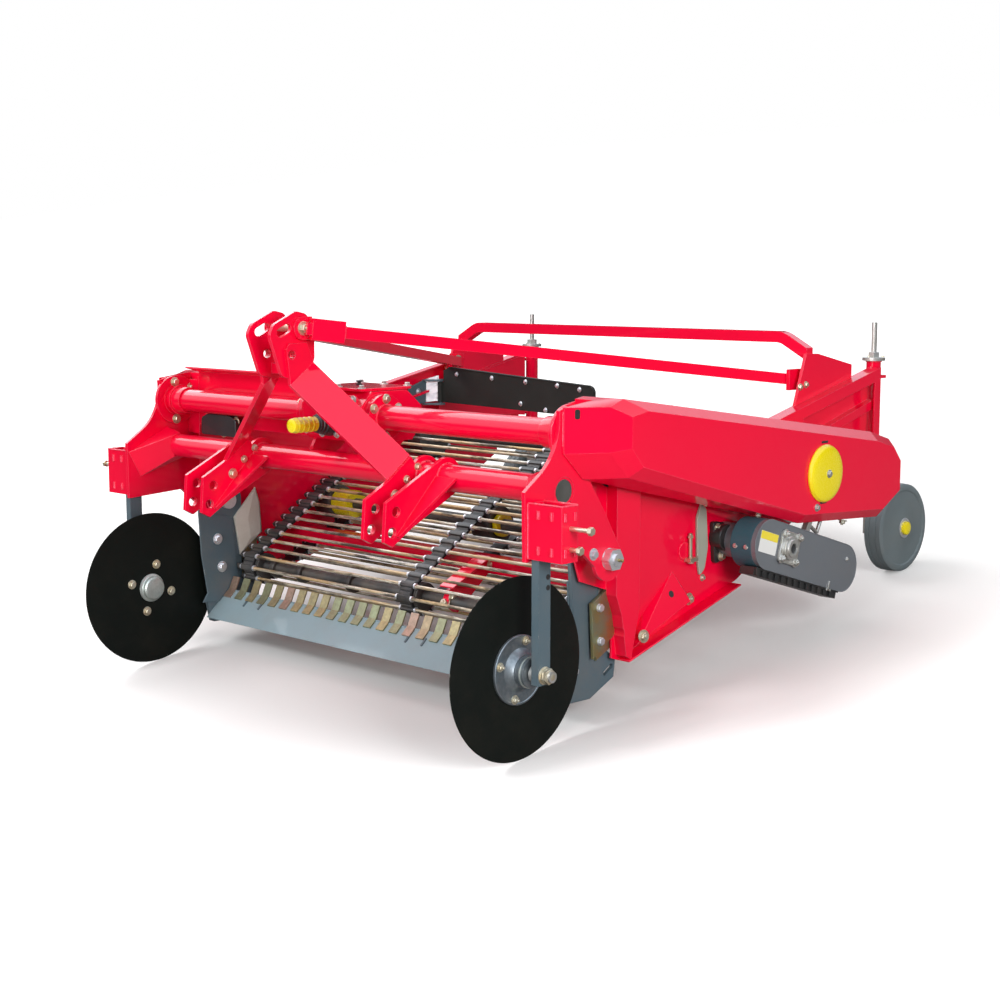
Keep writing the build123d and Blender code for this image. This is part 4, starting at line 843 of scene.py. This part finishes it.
def lug_weld(side):
    """Weld round the square lug at the mast end of a stay."""
    run = unit(flip(side, STAY_RUN))
    level = unit(np.cross(Z, run))
    over = np.cross(run, level)
    end = np.array([side * 78, *HEAD_BOLT]) + run * 112.6
    corners = box((-18, 18), (-18, 18))
    return [bead([end + level * a + over * b for a, b in corners + corners[:1]], 3.2, 21)]


both("stay_lug_welds", red, lug_weld, crisp=60)

# gearbox: covers with their bolts, breather, input housing and the ribbed cap of the input shaft
piece("gearbox_covers", [
    slab(rounded(box((-118, 118), (-104, 104)), 20), (0, 285, 300.4), X, Y, 9, 1.5),
    slab(rounded(box((-122, 122), (-62, 62)), 14), (0, 164.6, 228), X, Z, 6, 1.2)], red)
piece("gearbox_bolts", [
    *(bolt((x, y, 309), Z, 15) for x in (-104, 0, 104) for y in (194, 376)),
    *(bolt((x, 158.4, z), FORWARD, 14) for x in (-108, 108) for z in (178, 278))], zinc)
breather = [(0, 9), (1, 10), (5, 10), (6, 5.5), (10, 5.5), (11, 10), (15, 10), (16, 8), (16, 3)]
piece("gearbox_breather", [lathe(breather, (-10, 285, 309), Z, 24)], black)
housing = [(0, 40), (22, 38), (26, 35), (31, 34.5), (31, 22)]
piece("input_housing", [lathe(housing, (0, 167.4, INPUT_Z), FORWARD, 48)], black)
piece("input_housing_bolts", [bolt((a, 158, INPUT_Z + b), FORWARD, 13) for a, b in ring_of(4, 47, 0.8)], zinc)
cap = [(12, 6), (12.3, 17), (13.5, 20), (18, 21.4)]
for rib in (26, 44, 62, 80):
    cap += [(rib, 21.4), (rib + 1.5, 22.8), (rib + 6, 22.8), (rib + 7.5, 21.4)]
cap += [(98, 21.4), (100, 22), (100, 8)]
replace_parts(piece("input_cap", [lathe(cap, (0, 0, INPUT_Z), Y, 48)], yellow, crisp=30), "pto_cap")
collar = [(99.5, 8), (100.2, 23), (104, 24), (106, 24), (107, 27), (115, 27), (116.5, 30), (126, 30),
          (128, 33), (137, 33), (137, 8)]
piece("input_collar", [lathe(collar, (0, 0, INPUT_Z), Y, 48)], black, crisp=30)

# dark bearing block behind and below the right upper tube
block = rounded([(-740, 118), (-555, 118), (-555, 172), (-590, 187), (-706, 187), (-740, 172)], 8, 3)
piece("bearing_block_right", [slab(block, (0, 262, 0), X, Z, 30, 2)], black)
piece("bearing_block_bolts", [bolt((x, 246.5, z), FORWARD, 18) for x, z in (
    (-646, 161), (-568, 168), (-635, 127), (-712, 140))], gold_zinc)


# -------- sockets, shanks and pivots
def socket_bolt(side, z, length):
    """Clamping screw of a disc socket: its plain shank and its head."""
    return [rod((side * 1014, 86, z), (side * (1018 + length), 86, z), 6.2, 14, 0.8),
            *bolts(side, [(1016 + length, 86, z)], X, 20, head=12, washer=0)]


def plug_weld(side, x, y, z, seed):
    """Short upright weld that fills a slot of the socket."""
    return bead([(side * x, y, z - 11), (side * x, y, z + 11)], 4.8, seed)


PLUGS_Z = (34, -58)
both("socket_bolts", gold_zinc, lambda side: socket_bolt(side, 4, 62) + socket_bolt(side, -50, 26))
both("pivot_nuts", white_zinc, lambda side: [
    *bolts(side, [(899.6, *PIVOT)], X, 51, head=24, washer=30),
    lathe([(24, 15), (31, 15), (33, 13), (33.2, 5)], (side * 900, *PIVOT), (side, 0, 0), 28),
    *bolts(side, [(900, 311, -103)], X, 20, head=9)])
both("socket_plug_welds", red, lambda side: [
    *(plug_weld(side, x, 52.2, z, x + z) for x in (938, 984) for z in PLUGS_Z),
    *(plug_weld(side, 1018.2, y, z, y + z) for y in (64, 102) for z in PLUGS_Z)], crisp=60)
both("socket_welds", red, lambda side: [
    *(bead([(side * 901.5, y, z) for z in (-82, 60)], 3.4, seed) for y, seed in ((52, 41), (114, 42))),
    bead([(side * x, y, 62) for x, y in box((902, 1017), (52.5, 113.5))], 2.6, 43)], crisp=60)
# painted shade: shallow black discs on each shank stand in for its two holes
HOLE_SHADOW = [(-0.6, 7.4), (0.5, 7.4), (0.6, 6.8)]
both("shank_hole_shadows", black, lambda side: [
    lathe(HOLE_SHADOW, (side * 932, 96, z), (side, 0, 0), 24) for z in (-132, -160)])
NIPPLE = [(33, 4.6), (39, 4.6), (40, 3), (44, 3), (46, 4.6), (49, 4.6), (51, 2)]
both("pivot_nipples", carrier_gold, lambda side: [lathe(NIPPLE, (side * 900, *PIVOT), (side, 0, 0), 16)])

# -------- side walls
GUSSET = [(831.6, 740, -212), (831.6, 811, -286), (831.6, 509, -440), (831.6, 609, -315), (870, 548, -386),
          (866, 786, -303)]
GUSSET_FACES = [[0, 4, 5], [4, 2, 1, 5], [0, 3, 4], [3, 2, 4], [0, 5, 1], [0, 1, 2, 3]]
EDGE_FRONT, EDGE_REAR = np.array([500, -436]), np.array([1025, -288])
SCREW_X = 842


def wall_pressings(side):
    """Folded gusset at the foot of the pillar, and the flange turned out along the wall's lower edge."""
    run = unit(EDGE_REAR - EDGE_FRONT)
    rise = np.array([-run[1], run[0]]) * 5
    strip = [EDGE_FRONT, EDGE_REAR, EDGE_REAR + rise, EDGE_FRONT + rise]
    return [closed([flip(side, corner) for corner in GUSSET], GUSSET_FACES),
            side_slab(strip, side * 831.8, side * 874, 1)]


def wall_gap_shadows(side):
    """Painted shade: a black round patch for the eye in the gusset's leaning face, and a black sliver for the
    shaded gap above the wall's front edge.
    """
    top, front, rear = (np.array(flip(side, GUSSET[k])) for k in (0, 4, 5))
    lean = unit(np.cross(front - top, rear - top))
    lean = lean * np.sign(lean[0] * side)
    eye = top * 0.5 + front * 0.2 + rear * 0.3
    return [rod(eye - lean * 2, eye + lean * 0.5, 10, 24, 0.2),
            side_slab([(385, 92), (430, 66), (503, 42), (560, 50), (620, 63)], side * 832.2, side * 837, 0.6)]


def tension_screw(side):
    """Web tension screw: its wire hook, the screw with head and nut, and the lug under its head."""
    hook = [(side * SCREW_X, y, z) for y, z in ((862, -30), (866, -4), (880, 4), (896, -2), (910, -20))]
    return [sweep(hook, circle(3, 8)),
            rod((side * SCREW_X, 812, -108), (side * SCREW_X, 814, -196), 5.5, 14, 1),
            *bolts(side, [(SCREW_X, 814, -186)], DOWN, 19, head=10, washer=12),
            *bolts(side, [(SCREW_X, 812, -124)], Z, 15, head=8, washer=0),
            side_slab(box((796, 834), (-192, -180)), side * WALL_X, side * 856, 1)]


both("wall_pressings", red, wall_pressings, crisp=12, bevel=1)
both("wall_bolts", gold_zinc, lambda side: [
    *bolts(side, [(834, 818, -305)], X, 22, head=11, stub=4),
    *bolts(side, [(869, 566, -372)], (1, -0.25, 0.1), 22, head=11, stub=4),
    *bolts(side, ((868, 504, 78), (868, 540, 74)), DOWN, 13, head=7),
    *bolts(side, [(WALL_X, 884, -250)], X, 13),
    *bolts(side, ((848, 935, -106), (848, 954, -192)), X, 18, head=10)])
# painted shade: black patches for the gusset's eye and for the gap above the wall's front edge
both("wall_gap_shadows", black, wall_gap_shadows)
both("wall_shaft_caps", red, lambda side: [
    lathe([(0, 26), (2.5, 26), (3.5, 24.5), (3.6, 8)], (side * WALL_X, *CROWN), (side, 0, 0), 32)], crisp=30)
OBLONG = rounded([(846, -66), (868, -22), (890, -44), (900, -160), (886, -222), (862, -242), (850, -190)], 9)
both("wall_oblong_plates", oblong_green, lambda side: [side_slab(OBLONG, side * 832.2, side * 841, 1.4)])
both("web_tension_screws", gold_zinc, tension_screw)
BEARING_PLATE = rounded([(914, -84), (972, -92), (988, -200), (926, -214)], 14, 4)
both("wall_bearings", black, lambda side: [
    side_slab(BEARING_PLATE, side * 832.2, side * 848, 2),
    rod((side * WALL_X, 952, -134), (side * 874, 952, -134), 40, 40, 3)])


# -------- chain cases
def case_shadow_slots(side):
    """Black patches of painted shade: one for the slot on the case's slanting front, two for the shaded gaps above
    and below the cover's dome.
    """
    slope = unit((side * 105, -67, 0))
    at = np.array([side * 924.4, 215.5, 280]) - slope * 0.4
    return [slab(rounded(box((-7, 7), (-13, 13)), 6.5, 5), at, np.cross(Z, slope), Z, 0.9, 0.2),
            *(side_slab(rounded(box((1246, 1280), (z, z + 7)), 2, 2), side * CASE_FACE_X,
                        side * (CASE_FACE_X + 1), 0.3) for z in (134, -51))]


SEAM = ((200, 182), (186, 200), (186, 284), (204, 298))
both("case_seams", red, lambda side: [bead([(side * CASE_X, y, z) for y, z in SEAM], 3.4, 51)], crisp=60)
CASE_BOLTS = ((899, 471, 79), (899, 809, -8), (940, 1010, -60), (945, 1460, -128))
both("case_bolts", gold_zinc, lambda side: bolts(side, CASE_BOLTS, (0, -0.24, -1), 17, head=9, stub=5))
# painted shade: black patches in the case's front slot and in the gaps above and below the cover's dome
both("case_shadow_slots", black, case_shadow_slots)
DOME = [(0, 86.5), (2, 88), (6, 88), (8, 86), (12.5, 84), (15.5, 79), (17.5, 68), (18.6, 50), (19.2, 30),
        (19.3, 8)]
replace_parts(both("case_cover_domes", yellow, lambda side: [
    lathe(DOME, (side * 999.7, 1263, 42), (side, 0, 0), 96)]), "case_covers")
both("case_cover_bolts", zinc, lambda side: [
    *bolts(side, [(1018.6, 1263, 42)], X, 15, head=6, washer=13), *bolts(side, [(1000, 1228, -60)], X, 14)])

# -------- lower chain guard on the left
GUARD_FRONT, GUARD_REAR, GUARD_R = np.array([986, -144.6]), np.array([1385, -265]), 74
GUARD_RUN = unit(GUARD_REAR - GUARD_FRONT)
GUARD_OVER = np.array([-GUARD_RUN[1], GUARD_RUN[0]])
GUARD_LEAD = np.arctan2(GUARD_RUN[1], GUARD_RUN[0])
GUARD_FACE_X = 1000
BEARING = (95, 7)


def on_guard(points):
    """(y, z) of points given along the guard from its front centre and over its middle line."""
    points = floats(points)
    return GUARD_FRONT + GUARD_RUN * points[..., :1] + GUARD_OVER * points[..., 1:]


def guard_arc(centre, radius, start, count):
    """Half circle round one end of the guard, from an angle measured off its run."""
    return centre + radius * polar(np.linspace(start, start + np.pi, count) + GUARD_LEAD)


outer, inner = (guard_arc(GUARD_FRONT, GUARD_R + out, np.pi / 2, 40) for out in (1.4, 0.1))
piece("guard_nose_band", [side_slab([*outer, *inner[::-1]], 912, 985, 0.4)], teal, crisp=20)
rim = np.concatenate([guard_arc(GUARD_FRONT, GUARD_R - 0.4, np.pi / 2, 40),
                      guard_arc(GUARD_REAR, GUARD_R - 0.4, -np.pi / 2, 24)])
rim = np.column_stack([np.full(len(rim), CASE_FACE_X), rim])
piece("guard_rim", [sweep(rim, circle(1.8, 8), up=X, loop=True)], grey, crisp=60)
label, label_band = (rounded(on_guard(box(*ends)), 2, 2)
                     for ends in (((-53, 37), (35, -28)), ((-52.4, 36.4), (34.4, 11))))
piece("guard_label", [side_slab(label, 999.9, 1000.5, 0.1)], label_white)
piece("guard_label_band", [side_slab(label_band, 1000.4, 1000.8, 0.1)], label_yellow)
centre = on_guard(BEARING)
plate = rounded(on_guard(np.array(box((-48, 48), (48, -48))) + BEARING), 15, 5)
piece("guard_bearing_flange", [side_slab(plate, GUARD_FACE_X, 1009, 1.2),
                               hoop((1013, *centre), X, 22, 36, 10, 48, 2),
                               hoop((1019, *centre), X, 15, 27, 8, 48, 2)], zinc)
piece("guard_bearing_core", [rod((1004, *centre), (1017, *centre), 15.5, 32, 1)], black)
corners = on_guard([(BEARING[0] + a, BEARING[1] + b) for a in (-37, 37) for b in (-37, 37)])
nose = on_guard((-GUARD_R * 0.94, -GUARD_R * 0.3))
piece("guard_bolts", [
    *(bolt((1009, *corner), X, 17, head=10, stub=4) for corner in corners),
    bolt((GUARD_FACE_X, *on_guard((426, 30))), X, 8, head=4),
    *(bolt((x, *nose), (0, -GUARD_RUN[0], -GUARD_RUN[1]), 10, head=5) for x in (930, 968))], zinc)
tooth = np.array([(0, -76), (20, -76), (17, -99), (3, -99)])
teeth = [side_slab(rounded(on_guard(tooth + (a, 0)), 3, 2), 989.5, 996, 0.8) for a in range(-36, 402, 34)]
rail = side_slab(on_guard(box((-40, 417), (-74.5, -79))), 940, 998)
piece("guard_strip_teeth", [*teeth, rail], black)
piece("guard_clip", [side_slab(on_guard(box(*ends)), GUARD_FACE_X, 1004, 0.6)
                     for ends in (((346, 352), (-52, -82)), ((340, 364), (-76, -82)))], zinc)
LINK_X = 959
piece("tension_eye", [rod((LINK_X, 1316, -106), (LINK_X, 1293, -148), 6, 16, 1),
                      hoop((LINK_X, 1323, -94), X, 6.5, 13, 9, 24, 1.5),
                      rod((LINK_X, 1293, -148), (LINK_X, 1250, -118), 6, 16, 1)], zinc, "zinc_gold")

# -------- rear: bolts, jack screw threads, post welds
THREAD_TURNS, THREAD_R = 26, 8.3


def round_jack(side, angle, radius, height):
    """Points round the axis of a jack screw."""
    return np.column_stack([(side * JACK_X, JACK_Y) + radius * polar(angle), height])


def post_welds(side):
    """Short seams of the post, and the ring of weld under the jack nut."""
    ring_path = round_jack(side, np.linspace(0, 2 * np.pi, 48), 25, np.full(48, 350))
    return [*(bead([(side * 802, 1851, z), (side * 802, 1864, z)], 3, 61) for z in (62, 318)),
            bead(ring_path, 2.4, 62)]


both("rear_bolts", gold_zinc, lambda side: [
    *bolts(side, [(757.4, 1440, 312)], INWARD, 26, head=13, stub=5),
    *bolts(side, ((798.2, 1424, 286), (798.2, 1456, 292.4)), X, 13),
    *(bolt((side * JACK_X + a, JACK_Y + b, 362.4), Z, 9, head=5, washer=0) for a, b in ring_of(3, 30, 0.5))])
for side_name, sign in SIDES:
    helix = round_jack(sign, np.linspace(0, 2 * np.pi * THREAD_TURNS, THREAD_TURNS * 12), THREAD_R,
                       np.linspace(384, 478, THREAD_TURNS * 12))
    piece(f"jack_threads_{side_name}", [sweep(helix, circle(0.95, 5))], gold_zinc,
          body=f"{side_name}_wheel_leg", crisp=60)
both("post_welds", red, post_welds, crisp=60)

# -------- swath board
HINGE = np.array([-752, 1345, 0])
SWING = np.array([*polar(radians(-12)), 0])
BOARD_FACE = np.cross(Z, SWING)
BOARD_BOLTS = ((120, 271), (354, 269), (565, 267), (753, 264), (880, 258), (536, 189), (686, 176))


def on_board(along, z, out=0):
    """Point of the board at a distance from its hinge, a height, and a distance out of its front face."""
    return HINGE + SWING * along - BOARD_FACE * out + (0, 0, z)


piece("board_bolts", [bolt(on_board(along, z, way * 5.2), -BOARD_FACE * way, 11, head=5, washer=9)
                      for way in (1, -1) for along, z in BOARD_BOLTS], white_zinc, body="swath_board")
lip = [on_board(along, z) for along, z in ((66, 293.5), (300, 287.4), (600, 279.7), (928, 271.2))]
piece("board_top_lip", [sweep(lip, rounded(box((-7, 7), (-3, 3)), 2, 2))], rubber_board, body="swath_board",
      crisp=40)
raised = [(985, 214), (1432, 307), (1468, 312), (1468, 238), (1228, 183), (1040, 204)]
piece("wall_top_right", [side_slab(raised, -832, -826, 1), slab(
    box((0, 38), (0, 478)), (-829, 985, 209), X, (0, 447, 93), 6, 1.2)], red)
bracket = [side_slab([(1220, 219), (1226, 150), (1308, 158), (1312, 247)], -804, -796, 1.2),
           rod(HINGE + (0, 0, 150), HINGE + (0, 0, 247), 7, 24, 0.8)]
TAB = [(-800, 1292), (-786, 1292), (-738, 1329), (-738, 1353), (-760, 1358)]
bracket += [slab(TAB, (0, 0, low), X, Y, 8, 1) for low in (150, 239)]
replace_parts(piece("board_bracket", bracket, slate), "swath_bracket")
LEAF_RUN, LEAF_AT = unit((46, 30, 0)), np.array((-798, 1309, 0))
LEAF_FACE = np.array((LEAF_RUN[1], -LEAF_RUN[0], 0))
piece("bracket_leaf", [slab([(0, 160), (50, 166), (50, 262), (0, 247)], LEAF_AT, LEAF_RUN, Z, -4, 0.6)],
      white_zinc)
piece("bracket_bolts", [
    *(bolt(LEAF_AT + LEAF_RUN * 42 + LEAF_FACE * 4 + (0, 0, z), LEAF_FACE, 9, head=4, washer=0)
      for z in (178, 196, 228, 248)), bolt((-796, 1268, 202), X, 13, head=5)], white_zinc)
